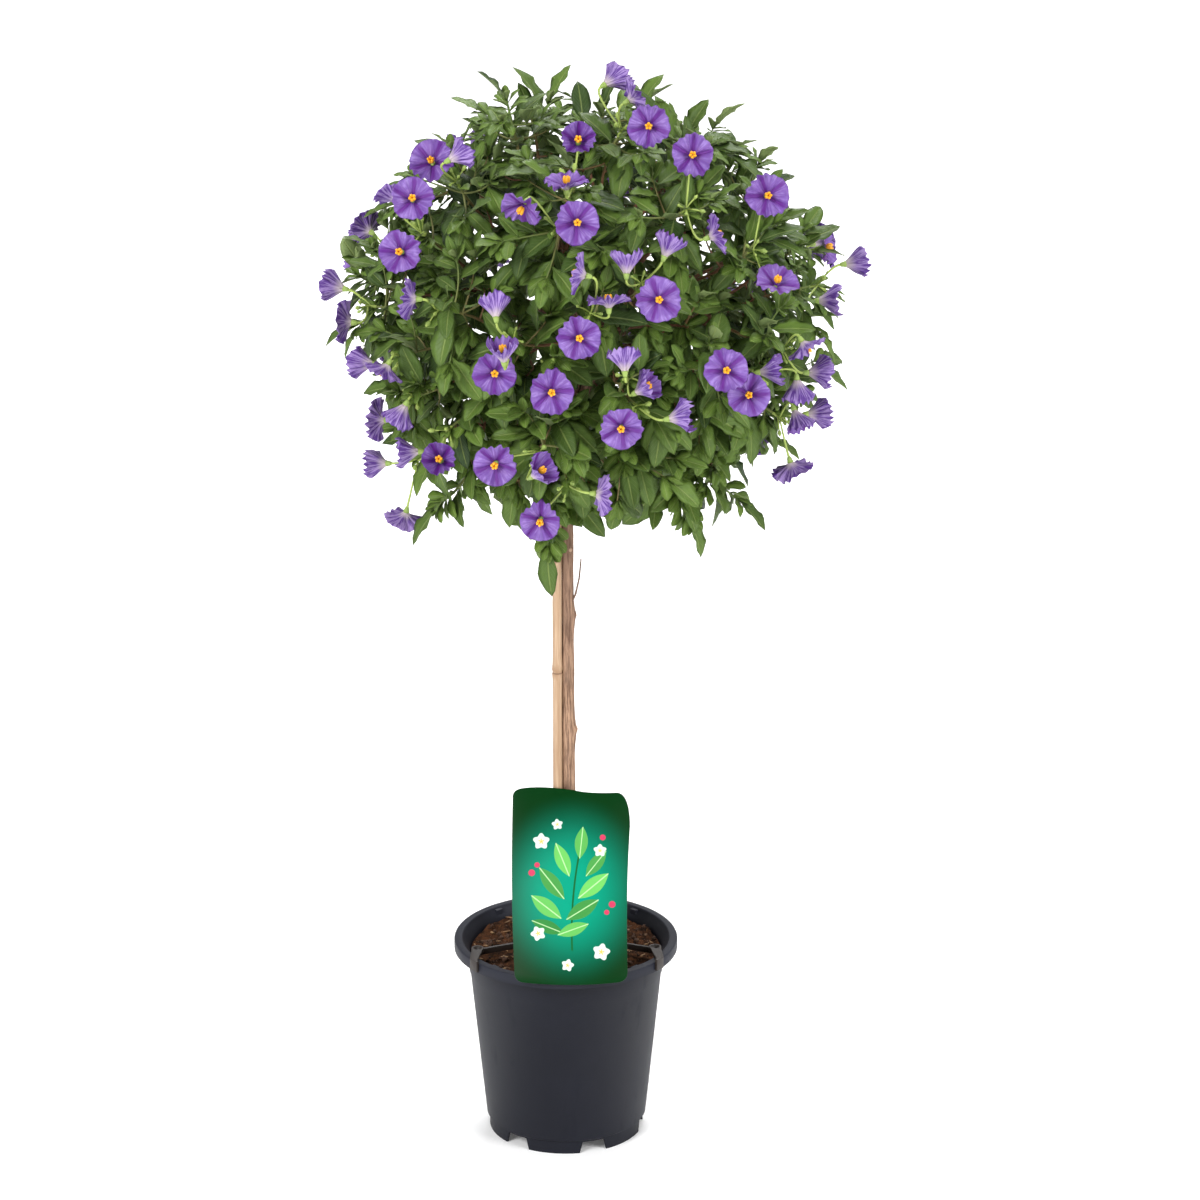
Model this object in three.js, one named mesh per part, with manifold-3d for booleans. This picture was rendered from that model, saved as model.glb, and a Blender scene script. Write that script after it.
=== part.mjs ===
// A potted blue potato bush, grown as a small standard tree: a nursery pot of peat, a bare
// trunk beside a bamboo cane, and a round crown of leafy stems that carry sprays of violet
// blooms. Millimetres, +Z up, the origin on the ground on the pot's axis, -Y at the front.
import * as THREE from "three";
import { mergeVertices } from "three/addons/utils/BufferGeometryUtils.js";
import { OBB } from "three/addons/math/OBB.js";
import Module from "manifold-3d";

const wasm = await Module();
wasm.setup();

// The pot, moulded in one piece.
const POT_HEIGHT = 154.6;
const POT_SIDES = 28;
const RIM_RADIUS = 85;
const MOUTH_RADIUS = 78.5;
const LIP_HEIGHT = 8;
const LIP_WALL = 1.7;
const SHOULDER_RADIUS = 75.5;
const FOOT_RADIUS = 61;
const POT_WALL = 1.8;
const BAND_HEIGHT = 129;
const BAND_STEP = 0.7;
const FOOT_STEP_HEIGHT = 10;
const FOOT_STEP = 2;
const FLOOR_UNDERSIDE = 10;
const FLOOR_TOP = 12;
const CENTRE_FOOT_RADIUS = 9;
const NOTCH_COUNT = 6;
const NOTCH_BASE = 22;
const NOTCH_TOP = 17;
const NOTCH_HEIGHT = 9;
const NOTCH_TURN = 21;
const RIB_TURN = 43;
const SOIL_TOP = 145.5;

// What stands in the soil.
const GAP = 0.3;
const TRUNK_FOOT = new THREE.Vector3(3.1, 3.3, 75);
const TRUNK_TOP = new THREE.Vector3(1.9, 2, 578);
const TRUNK_FOOT_RADIUS = 5.5;
const TRUNK_TOP_RADIUS = 3.7;
const TRUNK_KNOTS = [319, 409];
const KNOT_SPREAD = 14;
const KNOT_BULGE = 1.1;
const TWIG_RADIUS = 0.7;
const CANE_AXIS = [-5.8, 0];
const CANE_RADIUS = 3.6;
const CANE_FOOT = 55;
const CANE_TOP = 523;
const CANE_KNUCKLE = 367;

// The label card and the clip across the mouth of the pot.
const LABEL_WIDTH = 89;
const LABEL_LENGTH = 149.5;
const LABEL_THICKNESS = 0.8;
const LABEL_TOP = 276;
const LABEL_SHIFT = 4;
const CLIP_REACH = [67, -28.4];
const CLIP_TURN = 1.3;
const EYELET_RADIUS = 4.8;
const EYELET_BORE = 1.9;
const EYELET_SINK = 3.9;
const HOOK_TURN = 53.5;
const HOOK_WIDTH = 8.4;
const CLIP_THICKNESS = 2;

// The crown: an ellipsoid that the blooms and the tips of the shoots reach.
const CROWN_CENTRE = new THREE.Vector3(19, 0, 636);
const CROWN_RADII = new THREE.Vector3(188, 178, 184);
const STEM_COUNT = 16;
const LIMB_REACH = 0.28;
const STEM_REACH = 0.48;
const LIMB_RADIUS = 2.4;
const STEM_RADIUS = 2;
const SHOOT_RADIUS = 1.1;
const PEDICEL_RADIUS = 0.8;
const FIRST_FORK = 536;
const STRETCHES = 3;
const PEDUNCLE = 6;
const PEDUNCLE_RADIUS = 1.4;
const OPEN_BLOOM = { radius: 15, depth: 9, throat: 2.6, anthers: 3.2 };
const SMALL_BLOOM = { radius: 11, depth: 16, throat: 9, anthers: -5 };
const THROAT_RADIUS = 2.6;
const LEAST_TURN = -0.1;
const MOST_TURNS = 12;
const SPRAY_INSET = 30;
const FACING_SWAY = 0.5;
const SINGLE_INSET = 24;
const CLEARANCE = 0.35;
const LEAF_THICKNESS = 1.1;
const LEAF_STATIONS = [0.27, 0.54, 0.8];
const SMALL_LEAF_STATIONS = [0.36, 0.72];
const SMALL_LEAF = 38;
const LEAF_LENGTH = 30;
const LEAF_GROWTH = 13;
const LEAVES_A_BLOOM_SHOOT = 3;
const LEAVES_A_FREE_SHOOT = 5;
const BACK_SPRAYS = 10;
const FREE_SHOOTS = 20;

// Which way a bloom faces: to the front, or up, down, left or right with its inside or (N, S, W
// and E) its outside towards the front.
const FACINGS = {
  F: [0.05, -0.97, 0.2],
  U: [0.1, -0.45, 0.9],
  D: [-0.15, -0.55, -0.8],
  N: [0.05, 0.75, 0.95],
  S: [-0.1, 0.3, -0.9],
  W: [-0.95, 0.5, 0],
  E: [0.95, 0.5, 0],
};
// The sprays that show from the front: for each bloom its place in X and Z and its facing.
// A half-open bloom has a small letter.
const FRONT_SPRAYS = [
  [[90, 776, "F"], [107, 728, "E"]],
  [[143, 745, "F"], [149, 693, "U"]],
  [[61, 792, "F"], [51, 806, "E"], [40, 818, "e"]],
  [[11, 789, "f"], [3, 765, "N"]],
  [[-28, 746, "D"], [11, 740, "F"], [-6, 736, "f"]],
  [[-92, 767, "F"], [-73, 772, "e"]],
  [[-112, 747, "N"], [-113, 734, "F"], [-113, 710, "F"]],
  [[-171, 662, "w"], [-156, 650, "W"]],
  [[-147, 626, "w"], [-125, 626, "S"]],
  [[-109, 683, "W"], [-109, 668, "w"]],
  [[-132, 587, "W"], [-119, 600, "s"]],
  [[-142, 528, "w"], [-116, 565, "w"], [-118, 485, "S"]],
  [[-105, 581, "s"], [-87, 569, "u"]],
  [[-46, 639, "F"], [-46, 690, "n"], [-31, 675, "n"]],
  [[-7, 628, "F"], [-8, 653, "e"]],
  [[12, 666, "F"], [19, 687, "N"], [19, 709, "W"]],
  [[63, 689, "F"], [45, 721, "n"], [70, 723, "n"]],
  [[42, 657, "n"], [59, 638, "n"]],
  [[42, 603, "F"], [79, 615, "e"]],
  [[-47, 570, "F"], [-20, 577, "n"], [3, 576, "n"]],
  [[-16, 524, "F"], [29, 550, "E"]],
  [[113, 638, "F"], [130, 620, "F"]],
  [[171, 640, "S"], [182, 623, "e"]],
  [[151, 628, "e"], [165, 606, "s"]],
  [[187, 583, "e"], [168, 580, "s"], [164, 542, "S"]],
  [[195, 664, "e"], [215, 679, "e"]],
];
// The tips of the leafy sprigs that stand out of the round outline: X, Y and Z.
const SPRIGS = [
  [-40, -20, 800], [-24, 25, 781], [14, 10, 779], [28, 40, 780], [87, -15, 774], [136, 20, 722],
  [-150, 10, 667], [-12, -45, 477], [92, -30, 494], [-91, -25, 504], [127, -25, 507], [168, 0, 690],
];

// Shared shape helpers.

function solid(geometry) {
  const bare = geometry.index ? geometry.toNonIndexed() : geometry.clone();
  bare.deleteAttribute("normal");
  bare.deleteAttribute("uv");
  const merged = mergeVertices(bare, 1e-4);
  const mesh = new wasm.Mesh({
    numProp: 3,
    vertProperties: new Float32Array(merged.attributes.position.array),
    triVerts: new Uint32Array(merged.index.array),
  });
  const made = new wasm.Manifold(mesh);
  if (made.volume() < 0) throw new Error("the faces of a solid point inwards");
  return made;
}

function geometryOf(manifold) {
  const { vertProperties, triVerts } = manifold.getMesh();
  return new THREE.BufferGeometry()
    .setAttribute("position", new THREE.BufferAttribute(vertProperties, 3))
    .setIndex(new THREE.BufferAttribute(triVerts, 1));
}

function joined(solids) {
  return solids.reduce((sum, next) => sum.add(next));
}

function turned(profile, segments) {
  const points = profile.map(([radius, height]) => new THREE.Vector2(radius, height));
  return new THREE.LatheGeometry(points, segments).rotateX(Math.PI / 2);
}

function tube(curve, radius, sides, steps) {
  const section = new THREE.Shape();
  for (let side = 0; side < sides; side++) {
    const angle = (2 * Math.PI * side) / sides;
    const move = side ? "lineTo" : "moveTo";
    section[move](radius * Math.cos(angle), radius * Math.sin(angle));
  }
  return solid(new THREE.ExtrudeGeometry(section, { steps, extrudePath: curve }));
}

function straightTube(start, end, radius, sides) {
  return tube(new THREE.LineCurve3(start, end), radius, sides, 1);
}

function plate(outline, low, high) {
  const shape = new THREE.Shape(outline.map(([x, y]) => new THREE.Vector2(x, y)));
  const slab = new THREE.ExtrudeGeometry(shape, { depth: high - low, bevelEnabled: false });
  return solid(slab.translate(0, 0, low));
}

// A disc of `radius` round a vertical axis at (x, y).
function post(x, y, radius, low, high, sides) {
  const rod = new THREE.CylinderGeometry(radius, radius, high - low, sides);
  return solid(rod.rotateX(Math.PI / 2).translate(x, y, (low + high) / 2));
}

// The pot: a tapered wall with a band step, a rolled lip, a raised floor and a notched foot.

function wallRadius(height) {
  const rise = (height - FOOT_STEP_HEIGHT) / (POT_HEIGHT - LIP_HEIGHT - FOOT_STEP_HEIGHT);
  return FOOT_RADIUS + (SHOULDER_RADIUS - FOOT_RADIUS) * rise;
}

function potSolid() {
  const lipBottom = POT_HEIGHT - LIP_HEIGHT;
  const footInside = FOOT_RADIUS - FOOT_STEP - POT_WALL;
  const profile = [
    [0, 0],
    [CENTRE_FOOT_RADIUS, 0],
    [CENTRE_FOOT_RADIUS, FLOOR_UNDERSIDE],
    [footInside, FLOOR_UNDERSIDE],
    [footInside, 0],
    [FOOT_RADIUS - FOOT_STEP, 0],
    [FOOT_RADIUS - FOOT_STEP, FOOT_STEP_HEIGHT],
    [wallRadius(FOOT_STEP_HEIGHT + 1.5), FOOT_STEP_HEIGHT + 1.5],
    [wallRadius(BAND_HEIGHT) - BAND_STEP, BAND_HEIGHT - 1],
    [wallRadius(BAND_HEIGHT), BAND_HEIGHT],
    [SHOULDER_RADIUS, lipBottom],
    [RIM_RADIUS - LIP_WALL - 2.5, POT_HEIGHT - 2.4],
    [RIM_RADIUS - LIP_WALL, POT_HEIGHT - 2.4],
    [RIM_RADIUS - LIP_WALL, lipBottom],
    [RIM_RADIUS, lipBottom],
    [RIM_RADIUS, POT_HEIGHT - 1],
    [RIM_RADIUS - 1, POT_HEIGHT],
    [MOUTH_RADIUS, POT_HEIGHT],
    [MOUTH_RADIUS - 0.3, POT_HEIGHT - 2.2],
    [SHOULDER_RADIUS - POT_WALL, lipBottom + 0.6],
    [wallRadius(FLOOR_TOP) - POT_WALL, FLOOR_TOP],
    [0, FLOOR_TOP],
  ];
  let pot = solid(turned(profile, POT_SIDES));
  const notch = new THREE.Shape([
    new THREE.Vector2(-NOTCH_BASE / 2, -1),
    new THREE.Vector2(NOTCH_BASE / 2, -1),
    new THREE.Vector2(NOTCH_TOP / 2, NOTCH_HEIGHT),
    new THREE.Vector2(-NOTCH_TOP / 2, NOTCH_HEIGHT),
  ]);
  for (let index = 0; index < NOTCH_COUNT; index++) {
    const turn = THREE.MathUtils.degToRad(NOTCH_TURN + (360 / NOTCH_COUNT) * index);
    const cutter = new THREE.ExtrudeGeometry(notch, { depth: 10, bevelEnabled: false });
    cutter.translate(0, 0, FOOT_RADIUS - 8).rotateX(Math.PI / 2).rotateZ(turn);
    pot = pot.subtract(solid(cutter));
  }
  const ribs = [-RIB_TURN, RIB_TURN, 180 - RIB_TURN, 180 + RIB_TURN].map((degrees) => {
    const rib = new THREE.BoxGeometry(6, 8, 4.5);
    rib.translate(0, -(SHOULDER_RADIUS + 3.8), lipBottom + 4.2);
    return solid(rib.rotateZ(THREE.MathUtils.degToRad(degrees)));
  });
  return joined([pot, ...ribs]);
}

function soilSolid() {
  const inside = (height) => wallRadius(height) - POT_WALL - BAND_STEP - GAP;
  const geometry = turned(
    [
      [0, FLOOR_TOP + GAP],
      [inside(FLOOR_TOP), FLOOR_TOP + GAP],
      [inside(SOIL_TOP - 2), SOIL_TOP - 2],
      [66, SOIL_TOP],
      [52, SOIL_TOP],
      [38, SOIL_TOP],
      [24, SOIL_TOP],
      [0, SOIL_TOP],
    ],
    18,
  );
  const spots = geometry.attributes.position;
  for (let index = 0; index < spots.count; index++) {
    const [x, y, z] = [spots.getX(index), spots.getY(index), spots.getZ(index)];
    const lump = Math.sin(x * 0.21 + 1) * Math.cos(y * 0.17) + Math.sin(x * 0.09 - y * 0.13);
    if (z > SOIL_TOP - 1) spots.setZ(index, z + 1.1 * lump);
  }
  const trunkHole = post(TRUNK_FOOT.x, TRUNK_FOOT.y, TRUNK_FOOT_RADIUS + 2 * GAP,
    TRUNK_FOOT.z - GAP, SOIL_TOP + 9, 12);
  const caneHole = post(...CANE_AXIS, CANE_RADIUS + 2 * GAP, CANE_FOOT - GAP, SOIL_TOP + 9, 10);
  return solid(geometry).subtract(trunkHole).subtract(caneHole);
}

// The trunk, a tapered rod with two knots, and its limbs.

// The trunk's radius at a height, on the side that faces `angle`: the knots are on its right.
function trunkRadius(height, angle) {
  const share = (height - TRUNK_FOOT.z) / (TRUNK_TOP.z - TRUNK_FOOT.z);
  const bare = THREE.MathUtils.lerp(TRUNK_FOOT_RADIUS, TRUNK_TOP_RADIUS, share);
  const right = Math.max(0, Math.cos(angle));
  return bare + (TRUNK_KNOTS.includes(height) ? KNOT_BULGE * right : 0);
}

// A tapered rod with a ring of points at each level where its radius changes.
function barkSolid() {
  const levels = [TRUNK_FOOT.z, SOIL_TOP, 230, TRUNK_TOP.z - 70, TRUNK_TOP.z];
  TRUNK_KNOTS.forEach((knot) => levels.push(knot - KNOT_SPREAD, knot, knot + KNOT_SPREAD));
  levels.sort((a, b) => b - a);
  const geometry = new THREE.CylinderGeometry(1, 1, levels.length - 1, 8, levels.length - 1);
  const spots = geometry.rotateX(Math.PI / 2).attributes.position;
  for (let index = 0; index < spots.count; index++) {
    const [x, y] = [spots.getX(index), spots.getY(index)];
    const height = levels[Math.round((levels.length - 1) / 2 - spots.getZ(index))];
    const share = (height - TRUNK_FOOT.z) / (TRUNK_TOP.z - TRUNK_FOOT.z);
    const centre = TRUNK_FOOT.clone().lerp(TRUNK_TOP, share);
    const radius = trunkRadius(height, Math.atan2(y, x));
    spots.setXYZ(index, centre.x + x * radius, centre.y + y * radius, height);
  }
  return solid(geometry);
}

function trunkSolid(limbs) {
  const twig = new THREE.QuadraticBezierCurve3(
    new THREE.Vector3(4, 1, 418),
    new THREE.Vector3(9, -1, 430),
    new THREE.Vector3(12, -1, 455),
  );
  const boughs = limbs.map((limb) => tube(limb, LIMB_RADIUS, 3, STRETCHES));
  return joined([barkSolid(), tube(twig, TWIG_RADIUS, 3, 2), ...boughs]);
}

function caneSolid() {
  const profile = [
    [0, CANE_FOOT],
    [CANE_RADIUS, CANE_FOOT],
    [CANE_RADIUS, CANE_KNUCKLE - 7],
    [CANE_RADIUS + 0.5, CANE_KNUCKLE - 2],
    [CANE_RADIUS + 0.5, CANE_KNUCKLE + 2],
    [CANE_RADIUS, CANE_KNUCKLE + 7],
    [CANE_RADIUS, CANE_TOP],
    [0, CANE_TOP],
  ];
  return solid(turned(profile, 10).translate(...CANE_AXIS, 0));
}

// The label: a thin card that stands on the rim at the front and leans on the cane.

function labelSolid() {
  const half = LABEL_WIDTH / 2;
  const corner = 9;
  const outline = new THREE.Shape();
  outline.moveTo(-half + corner + 2, 1);
  outline.quadraticCurveTo(0, -2.5, half - corner - 2, 1);
  outline.quadraticCurveTo(half - 2, 1.5, half - 2, corner);
  outline.quadraticCurveTo(half - 3.5, LABEL_LENGTH * 0.45, half, LABEL_LENGTH * 0.8);
  outline.quadraticCurveTo(half, LABEL_LENGTH - 6, half - corner, LABEL_LENGTH - 4);
  outline.quadraticCurveTo(half * 0.3, LABEL_LENGTH - 5, 2, LABEL_LENGTH - 2);
  outline.quadraticCurveTo(-half * 0.5, LABEL_LENGTH + 1.5, -half + corner, LABEL_LENGTH - 0.5);
  outline.quadraticCurveTo(-half, LABEL_LENGTH - 1.5, -half + 1, LABEL_LENGTH - corner);
  outline.quadraticCurveTo(-half - 0.5, LABEL_LENGTH * 0.5, -half + 3, corner);
  outline.quadraticCurveTo(-half + 3, 1.5, -half + corner + 2, 1);
  const card = new THREE.ExtrudeGeometry(outline, {
    depth: LABEL_THICKNESS,
    bevelEnabled: false,
    curveSegments: 3,
  });
  // The back face passes just over the rim's outer edge and ends just in front of the cane.
  const rim = new THREE.Vector2(-RIM_RADIUS - 0.2, POT_HEIGHT + 0.3);
  const head = new THREE.Vector2(-CANE_RADIUS - GAP, LABEL_TOP);
  const lean = head.clone().sub(rim).normalize();
  const foot = head.clone().addScaledVector(lean, -LABEL_LENGTH);
  const place = new THREE.Matrix4().makeBasis(
    new THREE.Vector3(1, 0, 0),
    new THREE.Vector3(0, lean.x, lean.y),
    new THREE.Vector3(0, -lean.y, lean.x),
  );
  place.setPosition(LABEL_SHIFT, foot.x, foot.y);
  return solid(card.applyMatrix4(place));
}

// The clip: a bowed bar across the mouth, an eyelet at each end and a hook over the lip.

function clipSolid() {
  const [reach, setBack] = CLIP_REACH;
  const low = POT_HEIGHT - 3.6;
  const top = POT_HEIGHT + GAP + CLIP_THICKNESS;
  const bow = new THREE.CatmullRomCurve3([
    new THREE.Vector3(-reach, setBack, 0),
    new THREE.Vector3(-42, -17.5, 0),
    new THREE.Vector3(-6, -6.6, 0),
    new THREE.Vector3(6, -6.6, 0),
    new THREE.Vector3(42, -17.5, 0),
    new THREE.Vector3(reach, setBack, 0),
  ]);
  const line = bow.getSpacedPoints(14).map((spot) => [spot.x, spot.y]);
  const half = CLIP_THICKNESS / 2 + 0.2;
  const front = line.map(([x, y]) => [x, y - half]);
  const back = line.map(([x, y]) => [x, y + half]).reverse();
  let clip = plate([...front, ...back], low, low + 4.6);
  for (const side of [-1, 1]) {
    const turn = THREE.MathUtils.degToRad(HOOK_TURN);
    const outward = [side * Math.sin(turn), -Math.cos(turn)];
    const along = [-outward[1], outward[0]];
    const centre = RIM_RADIUS + GAP + CLIP_THICKNESS / 2;
    const at = (radius, shift) => [0, 1].map((axis) => outward[axis] * radius + along[axis] * shift);
    const width = HOOK_WIDTH / 2;
    const outside = centre + CLIP_THICKNESS / 2;
    const strap = [
      [side * reach - width, setBack],
      at(outside, -width),
      at(outside, width),
      [side * reach + width, setBack],
    ];
    const corners = [
      at(outside, -width), at(outside, width),
      at(outside - CLIP_THICKNESS, width), at(outside - CLIP_THICKNESS, -width),
    ];
    const eyelet = post(side * reach, setBack, EYELET_RADIUS, low + 1.9, top, 12);
    const bore = post(side * reach, setBack, EYELET_BORE, low - 4, top + 4, 8);
    const sink = new THREE.CylinderGeometry(EYELET_SINK, EYELET_BORE, 2.4, 8);
    sink.rotateX(Math.PI / 2);
    sink.translate(side * reach, setBack, top - 1.1);
    clip = joined([
      clip,
      plate(strap, POT_HEIGHT + GAP, top),
      plate(corners, POT_HEIGHT - 6.5, top),
      eyelet,
    ]);
    clip = clip.subtract(bore).subtract(solid(sink));
  }
  return clip.rotate([0, 0, CLIP_TURN]);
}

// Growth: where every stem, shoot, spray, bloom and leaf of the crown goes. Each has boxes
// round it, and a later piece is turned or moved until its boxes are clear of what stands there.

function draws(seed) {
  let state = (seed * 7919 + 104729) % 2147483647;
  return () => {
    state = (state * 16807) % 2147483647;
    return state / 2147483647;
  };
}

function crownPoint(direction, reach) {
  return direction.clone().multiply(CROWN_RADII).multiplyScalar(reach).add(CROWN_CENTRE);
}

function outwardAt(point) {
  return point.clone().sub(CROWN_CENTRE).divide(CROWN_RADII).normalize();
}

// The crown's front surface at a place seen from the front.
function frontPoint(x, z) {
  const across = (x - CROWN_CENTRE.x) / CROWN_RADII.x;
  const up = (z - CROWN_CENTRE.z) / CROWN_RADII.z;
  const depth = Math.sqrt(Math.max(0, 1 - across * across - up * up));
  return new THREE.Vector3(x, CROWN_CENTRE.y - CROWN_RADII.y * depth, z);
}

// `count` directions spread evenly by the golden angle, from `lowest` to `highest` in Z.
function spread(count, lowest, highest, turn) {
  return Array.from({ length: count }, (_, index) => {
    const z = lowest + ((highest - lowest) * (index + 0.5)) / count;
    const angle = turn + index * Math.PI * (3 - Math.sqrt(5));
    const ring = Math.sqrt(1 - z * z);
    return new THREE.Vector3(ring * Math.cos(angle), ring * Math.sin(angle), z);
  });
}

// Two directions square to `along`, and `along` itself.
function frameAlong(along) {
  const up = Math.abs(along.z) > 0.95 ? new THREE.Vector3(1, 0, 0) : new THREE.Vector3(0, 0, 1);
  const first = new THREE.Vector3().crossVectors(along, up).normalize();
  const second = new THREE.Vector3().crossVectors(first, along);
  return [first, second, along];
}

function boxRound(points, axes, room) {
  const centre = new THREE.Vector3();
  const half = new THREE.Vector3();
  axes.forEach((axis, index) => {
    const reach = points.map((point) => point.dot(axis));
    const low = Math.min(...reach);
    const high = Math.max(...reach);
    centre.addScaledVector(axis, (low + high) / 2);
    half.setComponent(index, (high - low) / 2 + room);
  });
  const [a, b, c] = axes;
  const turn = new THREE.Matrix3().set(a.x, b.x, c.x, a.y, b.y, c.y, a.z, b.z, c.z);
  return new OBB(centre, half, turn);
}

function rodBoxes(points, radius) {
  return points.slice(1).map((point, index) => {
    const along = point.clone().sub(points[index]).normalize();
    return boxRound([points[index], point], frameAlong(along), radius);
  });
}

const taken = [];

function take(boxes, owner, shoot) {
  boxes.forEach((box) => taken.push({ box, owner, shoot }));
}

function isClear(boxes, skips) {
  return boxes.every((box) => taken.every((other) => skips(other) || !box.intersectsOBB(other.box)));
}

// A bent shoot that ends at `end`, heading `along`; `bend` moves its middle sideways.
function shootCurve(start, end, along, bend) {
  const length = start.distanceTo(end);
  const middle = end.clone().addScaledVector(along, -0.45 * length).add(bend);
  return new THREE.QuadraticBezierCurve3(start, middle, end);
}

// A place on the straight stretches that a curve's tube is made of, and their direction there.
function alongStretches(points, share) {
  const steps = points.length - 1;
  const index = Math.min(steps - 1, Math.floor(share * steps));
  const [from, to] = [points[index], points[index + 1]];
  const heading = to.clone().sub(from).normalize();
  return { spot: from.clone().lerp(to, share * steps - index), heading };
}

function growStems() {
  return spread(STEM_COUNT, -0.62, 0.97, 0.6).map((direction, index) => {
    const start = crownPoint(direction, LIMB_REACH);
    const end = crownPoint(direction, STEM_REACH);
    const along = end.clone().sub(start).normalize();
    const share = (FIRST_FORK + 2.4 * index - TRUNK_FOOT.z) / (TRUNK_TOP.z - TRUNK_FOOT.z);
    const fork = TRUNK_FOOT.clone().lerp(TRUNK_TOP, share);
    const limb = shootCurve(fork, start, along, new THREE.Vector3(0, 0, 4));
    const root = start.clone().addScaledVector(along, GAP);
    take(rodBoxes(limb.getSpacedPoints(STRETCHES), LIMB_RADIUS + CLEARANCE), "trunk");
    take(rodBoxes([root, end], STEM_RADIUS + CLEARANCE), index);
    return { direction, limb, root, end, shoots: [], leaves: [] };
  });
}

// Adds a shoot to the stem that points most nearly its way, bent clear of other stems.
function addShoot(stems, tip, along, seed, blooming) {
  const draw = draws(seed);
  const aim = outwardAt(tip);
  const nearness = stems.map((stem) => stem.direction.dot(aim));
  const owner = nearness.indexOf(Math.max(...nearness));
  const stem = stems[owner];
  const start = stem.root.clone().lerp(stem.end, 0.3 + 0.65 * draw());
  for (let attempt = 0; attempt < 60; attempt++) {
    const [first, second] = frameAlong(along);
    const swing = 6 + attempt * 0.9;
    const bend = first.multiplyScalar((draw() - 0.5) * swing);
    bend.addScaledVector(second, (draw() - 0.5) * swing);
    const curve = shootCurve(start, tip, along, bend);
    const points = curve.getSpacedPoints(STRETCHES);
    const boxes = rodBoxes(points, SHOOT_RADIUS + CLEARANCE);
    if (!isClear(boxes, (other) => other.owner === owner)) continue;
    const shoot = { curve, points, owner, blooming, seed };
    take(boxes, owner, shoot);
    stem.shoots.push(shoot);
    return shoot;
  }
  return null;
}

// A bloom: its centre, the way it faces, and its radius and depth by how open it is.
function bloomAt(centre, facing, open, peduncleTip, draw) {
  const size = open ? OPEN_BLOOM : SMALL_BLOOM;
  const along = facing.clone().normalize();
  const approach = centre.clone().sub(peduncleTip).normalize();
  const backOf = (way) => centre.clone().addScaledVector(way, -size.depth);
  const turn = () => backOf(along).sub(peduncleTip).normalize().dot(along);
  for (let step = 0; step < MOST_TURNS && turn() < LEAST_TURN; step++) {
    along.addScaledVector(approach, 0.2).normalize();
  }
  const [first, second] = frameAlong(along);
  const radius = size.radius + 1.2 * draw();
  const spin = draw() * 2 * Math.PI;
  const across = first.clone().multiplyScalar(Math.cos(spin)).addScaledVector(second, Math.sin(spin));
  const side = new THREE.Vector3().crossVectors(along, across);
  return { centre, along, across, side, radius, back: backOf(along), size };
}

function bloomBoxes(bloom, peduncleTip) {
  const { centre, along, across, side, radius, back } = bloom;
  const ring = [0, 1, 2, 3, 4, 5, 6, 7].map((step) => {
    const angle = (step * Math.PI) / 4;
    return centre.clone()
      .addScaledVector(across, 1.02 * radius * Math.cos(angle))
      .addScaledVector(side, 1.02 * radius * Math.sin(angle));
  });
  const top = centre.clone().addScaledVector(along, 3.5);
  const cup = boxRound([...ring, top, centre.clone().lerp(back, 0.5)], [across, side, along], CLEARANCE);
  const neck = rodBoxes([centre.clone().lerp(back, 0.5), back], 5)[0];
  return { head: [cup, neck], stalk: rodBoxes([peduncleTip, back], PEDICEL_RADIUS + CLEARANCE) };
}

function growSpray(stems, wanted, number) {
  const mean = wanted.reduce((sum, bloom) => sum.add(bloom.centre), new THREE.Vector3());
  mean.multiplyScalar(1 / wanted.length);
  const along = outwardAt(mean);
  wanted.forEach((bloom) => along.addScaledVector(bloom.facing, FACING_SWAY / wanted.length));
  along.normalize();
  const inset = wanted.length > 1 ? SPRAY_INSET : SINGLE_INSET;
  const tip = mean.clone().addScaledVector(along, -inset);
  const shoot = addShoot(stems, tip, along, 100 + number, true);
  if (!shoot) return null;
  const draw = draws(500 + number);
  const start = tip.clone().addScaledVector(along, GAP);
  const peduncleTip = start.clone().addScaledVector(along, PEDUNCLE);
  const own = rodBoxes([start, peduncleTip], PEDUNCLE_RADIUS + CLEARANCE);
  const byStalks = (other) => other.shoot === shoot || other.owner === "stalks" + number;
  const bySpray = (other) => byStalks(other) || other.owner === "heads" + number;
  take(own, "stalks" + number);
  const blooms = [];
  for (const { centre, facing, open } of wanted) {
    for (let attempt = 0; attempt < 40; attempt++) {
      const shift = new THREE.Vector3(draw() - 0.5, draw() - 0.5, draw() - 0.5);
      const spot = centre.clone().addScaledVector(shift, attempt * 0.8);
      const look = facing.clone().addScaledVector(
        new THREE.Vector3(draw() - 0.5, draw() - 0.5, draw() - 0.5), 0.3 + attempt * 0.02);
      const bloom = bloomAt(spot, look, open, peduncleTip, draw);
      const { head, stalk } = bloomBoxes(bloom, peduncleTip);
      if (!isClear(head, byStalks) || !isClear(stalk, bySpray)) continue;
      take(head, "heads" + number);
      take(stalk, "stalks" + number);
      blooms.push(bloom);
      break;
    }
  }
  return { start, peduncleTip, along, blooms };
}

function frontSprays(stems) {
  return FRONT_SPRAYS.map((spray, number) => {
    const wanted = spray.map(([x, z, letter]) => ({
      centre: frontPoint(x, z),
      facing: new THREE.Vector3(...FACINGS[letter.toUpperCase()]),
      open: letter === letter.toUpperCase(),
    }));
    wanted.forEach((bloom) => bloom.facing.addScaledVector(outwardAt(bloom.centre), 0.35));
    return growSpray(stems, wanted, number);
  });
}

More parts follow.
